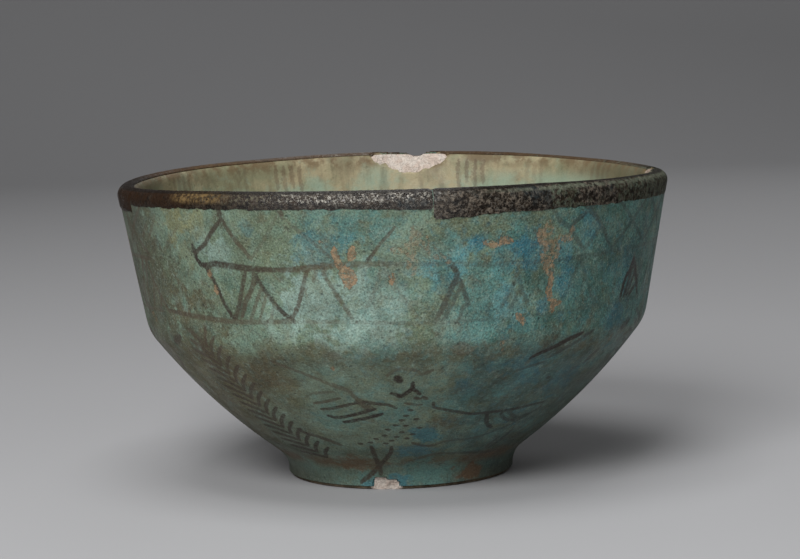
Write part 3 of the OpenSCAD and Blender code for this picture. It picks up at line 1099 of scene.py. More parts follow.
    def long_fish(self) -> list[Stroke]:
        """Returns the fish at the middle, from its head to the crossed strokes at its tail."""
        scales = [Stroke(((a, z), (a + 1.1, z - 0.1)), 0.52, 0.85) for a, z in self.fish_scales]
        return [*self.fish_head, *self.fish_back, *self.fish_stripes, *scales, *self.fish_tail]

    def losses(self) -> list[Stroke]:
        """Returns the places where the glaze is lost down to a tan ground."""
        hidden = [Stroke(((a, z), (a + 2, z - 3), (a + 1, z - 7)), 1.1, 0.9) for a, z in self.hidden_losses]
        return [*self.front_losses, *hidden]

    def inside(self) -> list[Stroke]:
        """Returns the groups of ticks that hang from the lip inside, and the line they end at."""
        strokes = []
        for middle, ink, count in self.tick_groups:
            for number in range(count):
                azimuth = middle + self.tick_step * (number - (count - 1) / 2)
                foot = self.tick_foot + 0.9 * math.sin(3 * number + middle)
                places = ((azimuth, self.tick_top), (azimuth + 0.2, self.tick_waist), (azimuth - 0.1, foot))
                strokes.append(Stroke(places, 0.66, ink, 0.8))
        strokes.append(Stroke(((218, 78.5), (228, 78), (240, 78.8)), 0.6, 0.25))
        strokes.append(self.ring(self.inner_rule, 0, 360, 0.5, 0.4))
        return strokes


def shader_groups() -> dict[str, Graph]:
    """Returns the effects that more than one finish uses, by name."""
    return {"mottle": mottle_group(), "zone": zone_group(), "grain": grain_group(), "mark": mark_group()}


def mottle_group() -> Graph:
    """Builds a mask of frayed patches of one size."""
    sockets = {"Position": "Vector", "Size": "Float", "Seed": "Float", "Low": "Float", "High": "Float"}
    g = Graph.group("mottle", TreeKind.FINISH, sockets, {"Mask": "Float"})
    place = g.vector("SCALE", g.source["Position"], g.math("DIVIDE", 1.0, g.source["Size"]))
    place = g.vector("ADD", place, g.combine(g.source["Seed"], 0.0, 0.0))
    patches = g.noise(place, 1.0, detail=6.0, roughness=0.62)
    g.feed(g.sink["Mask"], g.smooth(patches, g.source["Low"], g.source["High"]))
    return g


def zone_group() -> Graph:
    """Builds a mask of one frayed patch about a place, wider than high when Flat is over 1."""
    sockets = {"Position": "Vector", "Centre": "Vector", "Radius": "Float", "Flat": "Float"}
    g = Graph.group("zone", TreeKind.FINISH, sockets, {"Mask": "Float"})
    fray_scale, fray_reach, core = 0.3, 3.2, 0.45
    away = g.vector("SUBTRACT", g.source["Position"], g.source["Centre"])
    away = g.vector("LENGTH", g.vector("MULTIPLY", away, g.combine(1.0, 1.0, g.source["Flat"])))
    away = g.math("DIVIDE", away, g.source["Radius"])
    fray = g.noise(g.source["Position"], fray_scale, detail=6.0, roughness=0.66)
    away = g.line(g.math("SUBTRACT", fray, 0.5), fray_reach, away)
    g.feed(g.sink["Mask"], g.smooth(away, 1.0, core))
    return g


def grain_group() -> Graph:
    """Builds a fine grain: dark pits, light specks that the finishes lay as painted glints, an overall tone
    and a relief.
    """
    outputs = {"Dark": "Float", "Light": "Float", "Tone": "Float", "Height": "Float"}
    g = Graph.group("grain", TreeKind.FINISH, {"Position": "Vector", "Size": "Float"}, outputs)
    pit_scale, pit_edge, pit_depth, without_pit = 0.24, (0.26, 0.1), 1.2, 0.66
    speck_edge, speck_share, light_edge = (0.46, 0.3), 0.6, (0.58, 0.74)
    place = g.vector("SCALE", g.source["Position"], g.math("DIVIDE", 1.0, g.source["Size"]))
    tone = g.noise(place, 1.0, detail=3.0, roughness=0.7)
    light = g.noise(g.vector("ADD", place, (31.0, 17.0, 5.0)), 1.0, detail=1.0)
    cells = g.add("ShaderNodeTexVoronoi", {"Vector": place, "Scale": pit_scale})
    sparse = g.math("GREATER_THAN", g.split(cells.outputs["Color"])[0], without_pit)
    pits = g.times(g.smooth(cells.outputs["Distance"], *pit_edge), sparse)
    specks = g.times(g.smooth(tone, *speck_edge), speck_share)
    g.feed(g.sink["Dark"], g.math("MAXIMUM", specks, pits))
    g.feed(g.sink["Light"], g.smooth(light, *light_edge))
    g.feed(g.sink["Tone"], tone)
    relief = g.math("SUBTRACT", g.math("ADD", light, tone), g.times(pits, pit_depth))
    g.feed(g.sink["Height"], relief)
    return g


def mark_group() -> Graph:
    """Builds the mask and strength of a line that the mesh carries, frayed and, where it is weak, worn."""
    sockets = {"Position": "Vector", "Step": "Vector", "Facts": "Vector", "Fray": "Float",
               "Wear": "Float"}
    g = Graph.group("mark", TreeKind.FINISH, sockets, {"Mask": "Float", "Strength": "Float"})
    step_to_far, soft_edge, worn_edge = (0.3, 0.55), (1.35, 0.65), (0.32, 0.56)
    fray_scale, wear_scale, unworn_ink = 1.5, 0.3, 1.2
    ink, half, far = g.split(g.source["Facts"])
    near = g.vector("LENGTH", g.source["Step"])
    distance = g.fade(g.smooth(far, *step_to_far), near, far)
    edge = g.noise(g.source["Position"], fray_scale, detail=4.0, roughness=0.6)
    distance = g.line(g.math("SUBTRACT", edge, 0.5), g.source["Fray"], distance)
    body = g.smooth(distance, *(g.times(half, share) for share in soft_edge))
    rubbed = g.noise(g.source["Position"], wear_scale, detail=5.0, roughness=0.7)
    wear = g.times(g.source["Wear"], g.math("SUBTRACT", unworn_ink, ink))
    worn = g.fade(wear, 1.0, g.smooth(rubbed, *worn_edge))
    g.feed(g.sink["Mask"], g.times(body, ink, worn))
    g.feed(g.sink["Strength"], ink)
    return g


class Finish:
    """A material made of nodes, with the parts that every finish starts from."""

    def __init__(self, name: str, groups: Mapping[str, Graph]) -> None:
        """Starts an empty material.

        Args:
            name: name of the material.
            groups: the shared effects.
        """
        self.material = bpy.data.materials.new(name)
        self.material.use_nodes = True
        self.material.node_tree.nodes.clear()
        self.groups = groups
        self.graph = Graph(self.material.node_tree)
        coordinates = self.graph.add("ShaderNodeTexCoord").outputs["Object"]
        self.position = self.graph.vector("SCALE", coordinates, 1 / MM)
        self.x, self.y, self.z = self.graph.split(self.position)
        self.colour: Socket | None = None

    def across(self, low: float, high: float) -> Socket:
        """Returns a smooth step from 0 to 1 between two places from left to right, in millimetres."""
        return self.graph.smooth(self.x, low, high)

    def behind(self, low: float, high: float) -> Socket:
        """Returns a smooth step from 0 to 1 between two places from front to back, in millimetres."""
        return self.graph.smooth(self.y, low, high)

    def up(self, low: float, high: float) -> Socket:
        """Returns a smooth step from 0 to 1 between two heights, in millimetres."""
        return self.graph.smooth(self.z, low, high)

    def mottle(
        self, size: float, seed: float, low: float = 0.42, high: float = 0.58, squash: float = 1.0
    ) -> Socket:
        """Returns a mask of frayed patches of a size, drawn out down the wall when squash is under 1."""
        place = self.position
        if squash != 1.0:
            place = self.graph.vector("MULTIPLY", place, (1.0, 1.0, squash))
        mottle = self.groups["mottle"]
        return self.graph.place(mottle, Position=place, Size=size, Seed=seed, Low=low, High=high)["Mask"]

    def stray(self, size: float, seed: float, low: float = 0.3, high: float = 0.7) -> Socket:
        """Returns soft patches of a size that run from -0.5 to 0.5."""
        return self.graph.math("SUBTRACT", self.mottle(size, seed, low, high), 0.5)

    def zone(self, centre: Vector, radius: float, flat: float) -> Socket:
        """Returns a mask of one frayed patch about a place, in millimetres."""
        inputs = {"Position": self.position, "Centre": centre, "Radius": radius, "Flat": flat}
        return self.graph.place(self.groups["zone"], **inputs)["Mask"]

    def grain(self, size: float) -> Sockets:
        """Returns the outputs Dark, Light, Tone and Height of a fine grain of a size."""
        return self.graph.place(self.groups["grain"], Position=self.position, Size=size)

    def attribute(self, name: str) -> Socket:
        """Returns a vector that the mesh carries."""
        node = self.graph.add("ShaderNodeAttribute", attribute_type="GEOMETRY", attribute_name=name)
        return node.outputs["Vector"]

    def mark(self, label: str, fray: float, wear: float) -> Sockets:
        """Returns the Mask and Strength of the brush marks or losses that the mesh carries under a label."""
        step, facts = self.attribute(label + "_step"), self.attribute(label + "_facts")
        mark = self.groups["mark"]
        return self.graph.place(mark, Position=self.position, Step=step, Facts=facts, Fray=fray, Wear=wear)

    def band(self, low: float, high: float, soft: float) -> Socket:
        """Returns a mask of the heights between low and high, with soft edges."""
        return self.graph.times(self.up(low - soft, low + soft), self.up(high + soft, high - soft))

    def lay(self, colour: Colour | Socket, *masks: object) -> None:
        """Lays a colour over the finish's colour, by the product of masks and numbers."""
        self.colour = self.graph.blend(self.graph.times(*masks), self.colour, colour)

    def toned(self, colour: Socket, tone: Socket, depth: object) -> Socket:
        """Returns a colour lightened and darkened by a tone about 0.5, by a depth either way."""
        g = self.graph
        swing = g.math("SUBTRACT", g.times(tone, 2.0), 1.0)
        return g.vector("SCALE", colour, g.line(swing, depth, 1.0))

    def close(
        self, roughness: Socket, height: Socket, specular: object, depth: float
    ) -> Material:
        """Ends the material in a Principled BSDF with the finish's colour.

        Args:
            roughness: roughness.
            height: relief, in millimetres.
            specular: strength of the gloss.
            depth: how much of the relief shows.

        Returns:
            The finished material.
        """
        g = self.graph
        bump = g.add("ShaderNodeBump", {"Height": height, "Distance": MM, "Strength": depth})
        inputs = {"Base Color": self.colour, "Roughness": roughness, "Normal": bump.outputs[0],
                  "Specular IOR Level": specular}
        surface = g.add("ShaderNodeBsdfPrincipled", inputs)
        g.add("ShaderNodeOutputMaterial", {"Surface": surface.outputs[0]})
        return self.material


class Tint(Enum):
    """The glaze colours that lie in patches on the outer wall."""

    PALE = (0.245, 0.345, 0.295, 1.0)
    BLUE = (0.030, 0.150, 0.205, 1.0)
    AQUA = (0.100, 0.225, 0.205, 1.0)
    OLIVE = (0.145, 0.150, 0.082, 1.0)
    DRAB = (0.086, 0.086, 0.052, 1.0)
    BROWN = (0.090, 0.070, 0.040, 1.0)
    RUST = (0.120, 0.070, 0.038, 1.0)
    SEA = (0.036, 0.090, 0.086, 1.0)
    SKY = (0.125, 0.285, 0.300, 1.0)
    GOLD = (0.225, 0.225, 0.112, 1.0)


@dataclass(frozen=True)
class Patch:
    """One patch of a glaze colour, about a place on the outer wall, wider than high when flat is over 1."""

    tint: Tint
    place: Place
    radius: float
    share: float = 0.6
    flat: float = 1.0

    @classmethod
    def rows(cls, tint: Tint, *rows: tuple[float, ...]) -> list["Patch"]:
        """Returns patches of one colour, from rows of azimuth, height, radius, share and flatness."""
        return [cls(tint, (azimuth, height), *rest) for azimuth, height, *rest in rows]


@dataclass(frozen=True)
class OuterGlaze:
    """Blue-green glaze, sage on the left and teal on the right, brown below, stained, worn, painted and
    given painted shade low down.
    """

    form: BowlForm
    sage: Colour = (0.132, 0.172, 0.112, 1)
    mint: Colour = (0.165, 0.235, 0.172, 1)
    teal: Colour = (0.052, 0.118, 0.095, 1)
    turquoise: Colour = (0.082, 0.185, 0.162, 1)
    umber: Colour = (0.112, 0.102, 0.058, 1)
    moss: Colour = (0.155, 0.200, 0.145, 1)
    deep: Colour = (0.068, 0.098, 0.080, 1)
    pool: Colour = (0.080, 0.142, 0.128, 1)
    # Dark soil colour, also laid as painted shade low on the wall and on the foot.
    soil_and_shade: Colour = (0.050, 0.048, 0.032, 1)
    ground: Colour = (0.345, 0.225, 0.130, 1)
    subsoil: Colour = (0.190, 0.130, 0.078, 1)
    ink: Colour = (0.034, 0.025, 0.020, 1)
    sepia: Colour = (0.088, 0.061, 0.040, 1)
    dusk: Colour = (0.046, 0.048, 0.044, 1)
    speck: Colour = (0.030, 0.034, 0.030, 1)
    glint: Colour = (0.360, 0.420, 0.340, 1)
    grain: float = 0.5
    patches: tuple[Patch, ...] = (
        *Patch.rows(Tint.OLIVE, (-47, 75.5, 8), (-32, 71, 3, 0.5), (10, 75, 7), (19, 75.5, 7),
                    (31, 75, 6, 0.4), (30, 67, 8, 0.3)),
        *Patch.rows(Tint.DRAB, (-64, 54, 20, 0.8), (-50, 47, 15, 0.75, 1.5), (-38, 48.5, 8, 0.4, 1.6),
                    (-68, 72, 14, 0.7)),
        *Patch.rows(Tint.PALE, (-17, 56, 12, 0.8), (-5, 55, 12, 0.8), (-9, 49, 13, 0.8, 1.4),
                    (14, 48.5, 11, 0.5, 1.4), (-39, 67.5, 5), (-24, 50, 8, 0.5), (1, 70, 8, 0.3)),
        *Patch.rows(Tint.SEA, (60, 63, 10, 0.6), (60, 53, 8, 0.6), (50, 66, 7, 0.55), (40, 60, 6, 0.45),
                    (19, 39.5, 10, 0.5, 2.2), (32, 39.5, 10, 0.5, 2.0), (45, 49, 7, 0.4)),
        *Patch.rows(Tint.DRAB, (3, 40.5, 13, 0.5, 2.2), (-28, 41.5, 9, 0.45, 1.6), (-3, 62, 5, 0.35)),
        *Patch.rows(Tint.OLIVE, (4, 52, 5, 0.45)),
        *Patch.rows(Tint.AQUA, (-9, 76, 7, 0.75), (-3, 74.5, 6, 0.6), (17, 45.6, 9, 0.6, 1.8),
                    (28, 45.5, 8, 0.5, 1.8), (14, 55, 6, 0.5)),
        *Patch.rows(Tint.BLUE, (22, 65, 6, 0.5)),
        *Patch.rows(Tint.AQUA, (41.7, 72, 4), (49.6, 71, 3.5, 0.5), (42, 66, 3, 0.5),
                    (39.6, 57, 6, 0.4), (9, 66, 8, 0.7), (18, 58, 12, 0.7), (21, 50, 9, 0.7),
                    (-16, 76, 6, 0.4), (-1, 24.5, 6, 0.5), (8, 17, 5), (14, 26, 6, 0.4),
                    (9, 4.5, 8, 0.6), (33, 20, 4, 0.4), (-20, 23, 7, 0.4), (-45, 4, 8, 0.35)),
        *Patch.rows(Tint.BLUE, (-15.5, 70, 8, 0.4), (-31, 74.5, 3, 0.3), (26.7, 66, 6),
                    (16, 69.5, 2.2, 0.7), (36, 65.6, 4), (36, 58, 4.5), (31, 52, 2.5), (55, 60, 7, 0.3),
                    (56, 46, 6, 0.5), (31, 36.7, 7, 0.3), (16, 31, 5, 0.25)),
        *Patch.rows(Tint.BROWN, (-48, 54, 6, 0.4, 1.3), (-38, 34, 8, 0.4, 1.3), (-30, 36, 8, 0.35, 1.5),
                    (-18.8, 42.3, 6, 0.5, 1.6), (12.5, 21, 6, 0.65, 1.4), (22, 42, 8, 0.4, 1.8)),
        *Patch.rows(Tint.RUST, (13.5, 42.3, 4, 0.5, 1.6)),
        *Patch.rows(Tint.BLUE, (9, 60, 5, 0.35)),
        *Patch.rows(Tint.SKY, (5.5, 65, 5.5, 0.65), (12, 66, 5, 0.5), (24, 53, 6.5, 0.5)),
        *Patch.rows(Tint.BLUE, (16, 70, 3.5, 0.45), (42, 72, 5, 0.5), (27, 68, 5, 0.35)),
        *Patch.rows(Tint.DRAB, (31.5, 43, 7, 0.35, 1.6)),
        *Patch.rows(Tint.PALE, (-20.5, 56, 7, 0.6)),
        *Patch.rows(Tint.BLUE, (46.5, 30.5, 7, 0.45, 1.4), (34, 31, 5, 0.35, 1.6)),
        *Patch.rows(Tint.OLIVE, (2.5, 67.5, 5, 0.4), (6, 69, 5, 0.45)),
        *Patch.rows(Tint.DRAB, (46, 42, 7, 0.3, 1.5)),
        *Patch.rows(Tint.PALE, (-43, 70.5, 4.5, 0.6)),
        *Patch.rows(Tint.GOLD, (-50, 75, 6, 0.6), (-44, 75, 5, 0.4)),
        *Patch.rows(Tint.OLIVE, (-48.5, 67.5, 5, 0.5)),
        *Patch.rows(Tint.BROWN, (-54, 54, 6, 0.5)),
        *Patch.rows(Tint.DRAB, (-43, 57.5, 4.5, 0.45)),
    )
    stains: tuple[Patch, ...] = (
        *Patch.rows(Tint.AQUA, (13, 4, 9, 0.4, 1.5), (-20, 2.5, 6, 0.35, 1.5)),
        *Patch.rows(Tint.BLUE, (-1.5, 2, 4, 0.5, 1.2), (-17, 1, 3, 0.45), (4, 12, 6, 0.5, 2.0),
                    (7.5, 17, 5, 0.5, 1.6)),
        *Patch.rows(Tint.RUST, (35, 3, 6, 0.85, 1.8), (-22, 8, 9, 0.75, 3.0), (43, 8.7, 6, 0.4, 2.5)),
    )

    def _upper(self, f: Finish) -> Socket:
        """Returns the colour above the shoulder, from sage on the left to turquoise on the right."""
        g = f.graph
        drift = g.math("ADD", f.across(-32, 74), f.stray(12, 8))
        green = g.blend(f.mottle(15, 1, 0.4, 0.62), self.sage, self.mint)
        sea = g.blend(f.mottle(8, 5, 0.4, 0.62), self.teal, self.turquoise)
        return g.blend(g.smooth(drift, 0.2, 0.85), green, sea)

    def _lower(self, f: Finish) -> Socket:
        """Returns the colour below the shoulder, from umber on the left over moss to a pool on the right."""
        g = f.graph
        stray = g.times(f.stray(13, 3), 0.7)
        mossy = g.smooth(g.math("ADD", f.across(-48, -16), stray), 0.2, 0.8)
        pooled = g.smooth(g.math("ADD", f.across(-8, 32), stray), 0.2, 0.8)
        dark = g.blend(f.mottle(9, 6, 0.4, 0.62), self.deep, self.pool)
        return g.blend(pooled, g.blend(mossy, self.umber, self.moss), dark)

    def _patch(self, f: Finish, patches: Iterable[Patch]) -> None:
        """Lays patches over the glaze, the last on top."""
        for patch in patches:
            around, height = math.radians(patch.place[0]), patch.place[1]
            reach = float(self.form.radius_at(Side.OUTSIDE, height))
            centre = Vector((reach * math.sin(around), -reach * math.cos(around), height))
            f.lay(patch.tint.value, f.zone(centre, patch.radius, patch.flat), patch.share)

    def _glaze(self, f: Finish) -> None:
        """Lays on the glaze's own colours and painted shade low on the wall, before grain, paint and losses.
        """
        g = f.graph
        level = g.line(f.mottle(10, 12, 0.3, 0.7), 6.0, f.z)
        f.colour = g.blend(g.smooth(level, 48.0, 42.0), self._upper(f), self._lower(f))
        f.lay(Tint.PALE.value, f.behind(5, 25), f.band(45, 57, 6), f.mottle(14, 21), 0.6)
        self._patch(f, self.patches)
        # A darker brown belt just under the shoulder.
        f.lay(Tint.BROWN.value, f.band(38.5, 43, 1.5), f.mottle(9, 44, 0.3, 0.6), 0.5)
        f.lay(Tint.BLUE.value, f.mottle(2.6, 31, 0.52, 0.74), f.across(-45, 15), 0.5)
        f.lay(Tint.PALE.value, f.mottle(2.2, 37, 0.52, 0.74), 0.5)
        f.lay(Tint.BROWN.value, f.mottle(3.2, 41, 0.52, 0.72), 0.55)
        wet = g.line(f.across(-40, 10), 0.3, 0.15)
        f.lay(Tint.AQUA.value, f.mottle(5.0, 77, 0.5, 0.66), wet)
        f.lay(Tint.OLIVE.value, f.mottle(6.0, 79, 0.5, 0.66), 0.35)
        f.lay(Tint.AQUA.value, f.mottle(1.5, 73, 0.5, 0.64), wet, 0.5)
        f.lay(Tint.OLIVE.value, f.mottle(1.3, 75, 0.5, 0.64), 0.2)
        f.colour = f.toned(f.colour, f.mottle(7.0, 91, 0.3, 0.7), 0.2)
        # Painted shade, partly soil in the neck: darker about the neck, low on the flanks, at the left edge,
        # low on the right and on the foot, where the wall turns from the lamps or lies under the overhang.
        flank = g.math("ABSOLUTE", f.x)
        f.lay(self.soil_and_shade, f.band(8.5, 13.0, 2.5), f.mottle(8, 39, 0.3, 0.6), 0.5)
        f.lay(self.soil_and_shade, f.up(26, 11), g.smooth(flank, 16.0, 40.0), 0.5)
        f.lay(self.soil_and_shade, f.across(-57, -70), 0.5)
        f.lay(self.soil_and_shade, f.across(28, 54), f.up(42, 26), 0.5)
        f.lay(self.deep, f.up(8, 5), 0.55)
        f.lay(self.soil_and_shade, f.up(6, 2), g.smooth(flank, 10.0, 27.0), 0.55)
        f.lay(Tint.RUST.value, f.band(6.2, 9.2, 1.4), f.mottle(9, 33, 0.36, 0.56), 0.7)
        self._patch(f, self.stains)

    def material(self, groups: Mapping[str, Graph]) -> Material:
        """Builds the finish.

        Args:
            groups: the shared effects.

        Returns:
            The material.
        """
        f = Finish("weathered blue-green glaze", groups)
        g = f.graph
        self._glaze(f)
        grain = f.grain(self.grain)
        coarse = f.up(34, 50)
        depth = g.fade(coarse, 0.68, g.fade(f.across(0, 30), 1.0, 1.3))
        f.colour = f.toned(f.colour, grain["Tone"], depth)
        f.lay(self.speck, grain["Dark"], g.fade(coarse, 0.3, 0.45))
        # Painted glints: the grain's light specks, laid in a pale colour.
        f.lay(self.glint, grain["Light"], g.fade(coarse, 0.15, 0.34))
        marks = f.mark("mark", fray=0.5, wear=0.7)
        spent = g.blend(f.across(0, 22), self.sepia, self.dusk)
        paint = g.blend(g.smooth(marks["Strength"], 0.5, 1.05), spent, self.ink)
        broken = g.line(f.mottle(0.8, 63, 0.36, 0.54), 0.35, 0.65)
        f.lay(paint, g.math("POWER", marks["Mask"], 0.7), broken)
        lost = f.mark("loss", fray=1.9, wear=0.3)
        crumbs = g.line(f.mottle(1.3, 55, 0.34, 0.6), 0.8, 0.3)
        losses = g.smooth(g.times(lost["Mask"], crumbs), 0.2, 0.6)
        earth = f.toned(g.blend(f.mottle(1.2, 57), self.ground, self.subsoil), grain["Tone"], 0.5)
        thin = g.line(g.smooth(lost["Strength"], 0.4, 1.0), 0.4, 0.52)
        patchy = g.line(f.mottle(0.7, 59, 0.36, 0.58), 0.35, 0.65)
        f.lay(earth, losses, thin, patchy)
        rough = g.fade(losses, g.line(f.mottle(6, 61), 0.16, 0.44), 0.85)
        height = g.times(grain["Height"], 0.14)
        for relief, rise in ((f.mottle(3.0, 71, 0.3, 0.7), 0.08), (losses, -0.14), (marks["Mask"], -0.06)):
            height = g.line(relief, rise, height)
        return f.close(rough, height, specular=0.2, depth=0.85)


@dataclass(frozen=True)
class InnerGlaze:
    """Pale olive glaze with cream and tan runs, mint lower down, and painted shade at both sides."""

    cream: Colour = (0.365, 0.310, 0.192, 1)
    olive: Colour = (0.240, 0.232, 0.140, 1)
    mint: Colour = (0.268, 0.335, 0.248, 1)
    tan: Colour = (0.140, 0.090, 0.046, 1)
    # Dark colour of the runs, also laid as painted shade at the sides.
    shade: Colour = (0.105, 0.095, 0.055, 1)
    pool: Colour = (0.085, 0.170, 0.145, 1)
    ink: Colour = (0.105, 0.066, 0.042, 1)
    speck: Colour = (0.050, 0.045, 0.030, 1)
    grain: float = 0.5

    def material(self, groups: Mapping[str, Graph]) -> Material:
        """Builds the finish.

        Args:
            groups: the shared effects.

        Returns:
            The material.
        """
        f = Finish("pale olive glaze", groups)
        g = f.graph
        f.colour = g.blend(f.mottle(18, 2), self.olive, self.cream)
        lower = g.math("ADD", f.up(82, 62), f.stray(13, 7))
        f.lay(self.mint, g.smooth(lower, 0.1, 0.9))
        f.lay(self.pool, f.mottle(20, 85, 0.36, 0.62), f.up(58, 22), 0.65)
        f.lay(self.shade, f.mottle(7.0, 15, 0.5, 0.68, squash=0.2), 0.45)
        f.lay(self.shade, f.mottle(2.6, 16, 0.5, 0.68, squash=0.2), 0.3)
        f.lay(self.tan, f.mottle(8, 83, 0.5, 0.72), 0.5)
        f.lay(self.mint, f.mottle(4, 87, 0.56, 0.7), 0.4)
        # Painted shade at both ends of the inner wall that shows over the rim.
        left, right = g.times(f.across(-56, -68), 0.7), g.times(f.across(46, 62), 0.8)
        f.lay(self.shade, g.math("MAXIMUM", left, right))
        fresh = g.times(f.across(24, 33), f.across(66, 54), f.up(79, 75))
        f.lay(self.mint, fresh, f.mottle(9, 91, 0.25, 0.5), 0.75)
        f.lay(self.tan, f.band(79.5, 84, 1.6), f.mottle(5, 19), 0.75)
        grain = f.grain(self.grain)
        coarse = f.up(70, 55)
        f.colour = f.toned(f.colour, grain["Tone"], g.fade(coarse, 0.16, 0.5))
        f.lay(self.speck, grain["Dark"], g.fade(coarse, 0.06, 0.3))
        f.lay(self.ink, f.mark("mark", fray=1.4, wear=0.7)["Mask"], 0.62)
        rough = g.line(f.mottle(7, 23), 0.15, 0.42)
        height = g.line(f.mottle(3.2, 29, 0.3, 0.7), 0.05, g.times(grain["Height"], 0.07))
        return f.close(rough, height, specular=0.25, depth=0.7)


@dataclass(frozen=True)
class BandFinish:
    """Brown-black brushed band, pitted and glossy with painted highlights in front, amber on the left, worn
    on the right.
    """

    form: BowlForm
    black: Colour = (0.014, 0.011, 0.009, 1)
    brown: Colour = (0.048, 0.036, 0.026, 1)
    umber: Colour = (0.030, 0.016, 0.009, 1)
    amber: Colour = (0.185, 0.122, 0.052, 1)
    # Whitish flecks, laid as painted highlights.
    glint_white: Colour = (0.310, 0.292, 0.250, 1)
    moor: Colour = (0.130, 0.118, 0.080, 1)
    sand: Colour = (0.215, 0.180, 0.140, 1)
    worn: Colour = (0.100, 0.110, 0.074, 1)
    rubbed: Colour = (0.130, 0.158, 0.118, 1)
    chalk: Colour = (0.165, 0.180, 0.132, 1)
    tan: Colour = (0.080, 0.048, 0.026, 1)
    slate: Colour = (0.030, 0.046, 0.052, 1)
    grain: float = 0.42
    relief_grain: float = 0.6
    cell_scale: float = 1.2
    pitted_from: tuple[float, float] = (6.0, 14.0)
    worn_from: tuple[float, float] = (14.0, 40.0)

    def _face(self, f: Finish, down: Socket) -> None:
        """Lays on the colours of the face that shows outside, before the crest and the far side.

        Args:
            f: the finish.
            down: distance below the crest, in millimetres.
        """
        g = f.graph
        fine = f.grain(self.grain)
        f.colour = g.blend(f.mottle(1.6, 3, 0.4, 0.6), self.black, self.brown)
        f.lay(self.umber, f.across(-46, -57), f.mottle(5, 47, 0.3, 0.5), 0.9)
        high = g.smooth(down, 3.2, 1.7)
        broken = g.line(f.mottle(1.1, 9), 0.8, 0.15)
        f.lay(self.amber, f.across(-59, -54), f.across(-40, -48), high, broken)
        # Painted highlights: pale flecks over the upper front of the band, where the lamp's reflection falls
        # on the glossy pits, white in front and olive on the left.
        highlight_zone = g.times(f.across(-50, -34), f.across(18, 8), high)
        thick = g.line(highlight_zone, 0.7, g.times(f.across(-62, -46), 0.3))
        flecks_and_glints = g.math("MAXIMUM", fine["Light"], f.mottle(0.8, 17, 0.53, 0.6))
        f.lay(g.blend(f.across(-36, -22), self.moor, self.glint_white), flecks_and_glints, thick)
        cells = g.add("ShaderNodeTexVoronoi", {"Vector": f.position, "Scale": self.cell_scale})
        walls = g.smooth(cells.outputs["Distance"], 0.38, 0.52)
        pitted = f.across(*self.pitted_from)
        f.lay(self.sand, pitted, walls, f.mottle(1.8, 27), 0.75)
        f.lay(self.slate, f.mottle(7, 43, 0.54, 0.66), f.across(-20, 5), 0.55)
        astray = g.line(f.stray(4.0, 26), 5.0, f.x)
        kept = g.times(g.smooth(astray, 45.0, 48.0), g.smooth(astray, 59.5, 56.0), f.behind(0, -10), 0.8)
        bare = g.times(g.smooth(astray, 37.5, 41.5), g.math("SUBTRACT", 1.0, kept))
        bare = g.line(f.stray(3.0, 13, 0.35, 0.65), 0.7, bare)
        scuffed = g.line(f.mottle(1.2, 14, 0.42, 0.54), 0.55, 0.4)
        thinned = g.blend(f.mottle(1.3, 18, 0.44, 0.6, squash=0.4), self.worn, self.rubbed)
        thinned = g.blend(g.times(f.mottle(1.5, 24, 0.44, 0.56), 0.85), thinned, self.umber)
        f.lay(thinned, g.smooth(bare, 0.3, 0.75), scuffed)
        spots = g.math("MAXIMUM", fine["Dark"], g.times(f.mottle(1.1, 67, 0.5, 0.6), pitted))
        f.lay(self.black, spots, 0.85)

    def material(self, groups: Mapping[str, Graph]) -> Material:
        """Builds the finish.

        Args:
            groups: the shared effects.

        Returns:
            The material.
        """
        f = Finish("pitted dark band", groups)
        g = f.graph
        turned = g.vector("SCALE", f.attribute("turned"), 1 / MM)
        down = g.math("SUBTRACT", self.form.bowl_h, g.split(turned)[2])
        self._face(f, down)
        near = f.behind(30, 15)
        worn = f.across(*self.worn_from)
        # A pale line just under the crest on the worn right: partly glaze showing through the thinned band,
        # partly a painted highlight along the crest.
        line = g.times(g.smooth(down, 1.5, 1.0), g.smooth(down, 0.3, 0.6), worn, near)
        f.lay(self.chalk, line, f.mottle(1.6, 51, 0.4, 0.55), 0.7)
        f.lay(self.chalk, f.across(60, 68), f.mottle(2.4, 52, 0.4, 0.6), near, 0.35)
        # Painted shade: a thin dark line along the crest, where the lip turns over into the bowl.
        crest = g.smooth(down, g.fade(worn, 0.5, 0.3), g.fade(worn, 0.2, 0.1))
        f.lay(self.black, crest, near, 0.8)
        f.lay(self.tan, f.behind(5, 40), f.mottle(6, 53, 0.3, 0.5), 0.85)
        rough = g.line(f.mottle(2.0, 21), 0.25, 0.26)
        rough = g.fade(f.across(10, 30), rough, 0.6)
        pitted = g.fade(f.across(*self.pitted_from), 1.0, 1.8)
        pits = g.times(f.mottle(0.9, 29, 0.4, 0.6), f.behind(10, -10), pitted)
        height = g.line(pits, 0.16, g.times(f.grain(self.relief_grain)["Height"], 0.1))
        gloss = g.line(g.times(f.across(-50, -28), f.across(22, 8)), 0.45, 0.03)
        return f.close(rough, height, specular=gloss, depth=1.0)


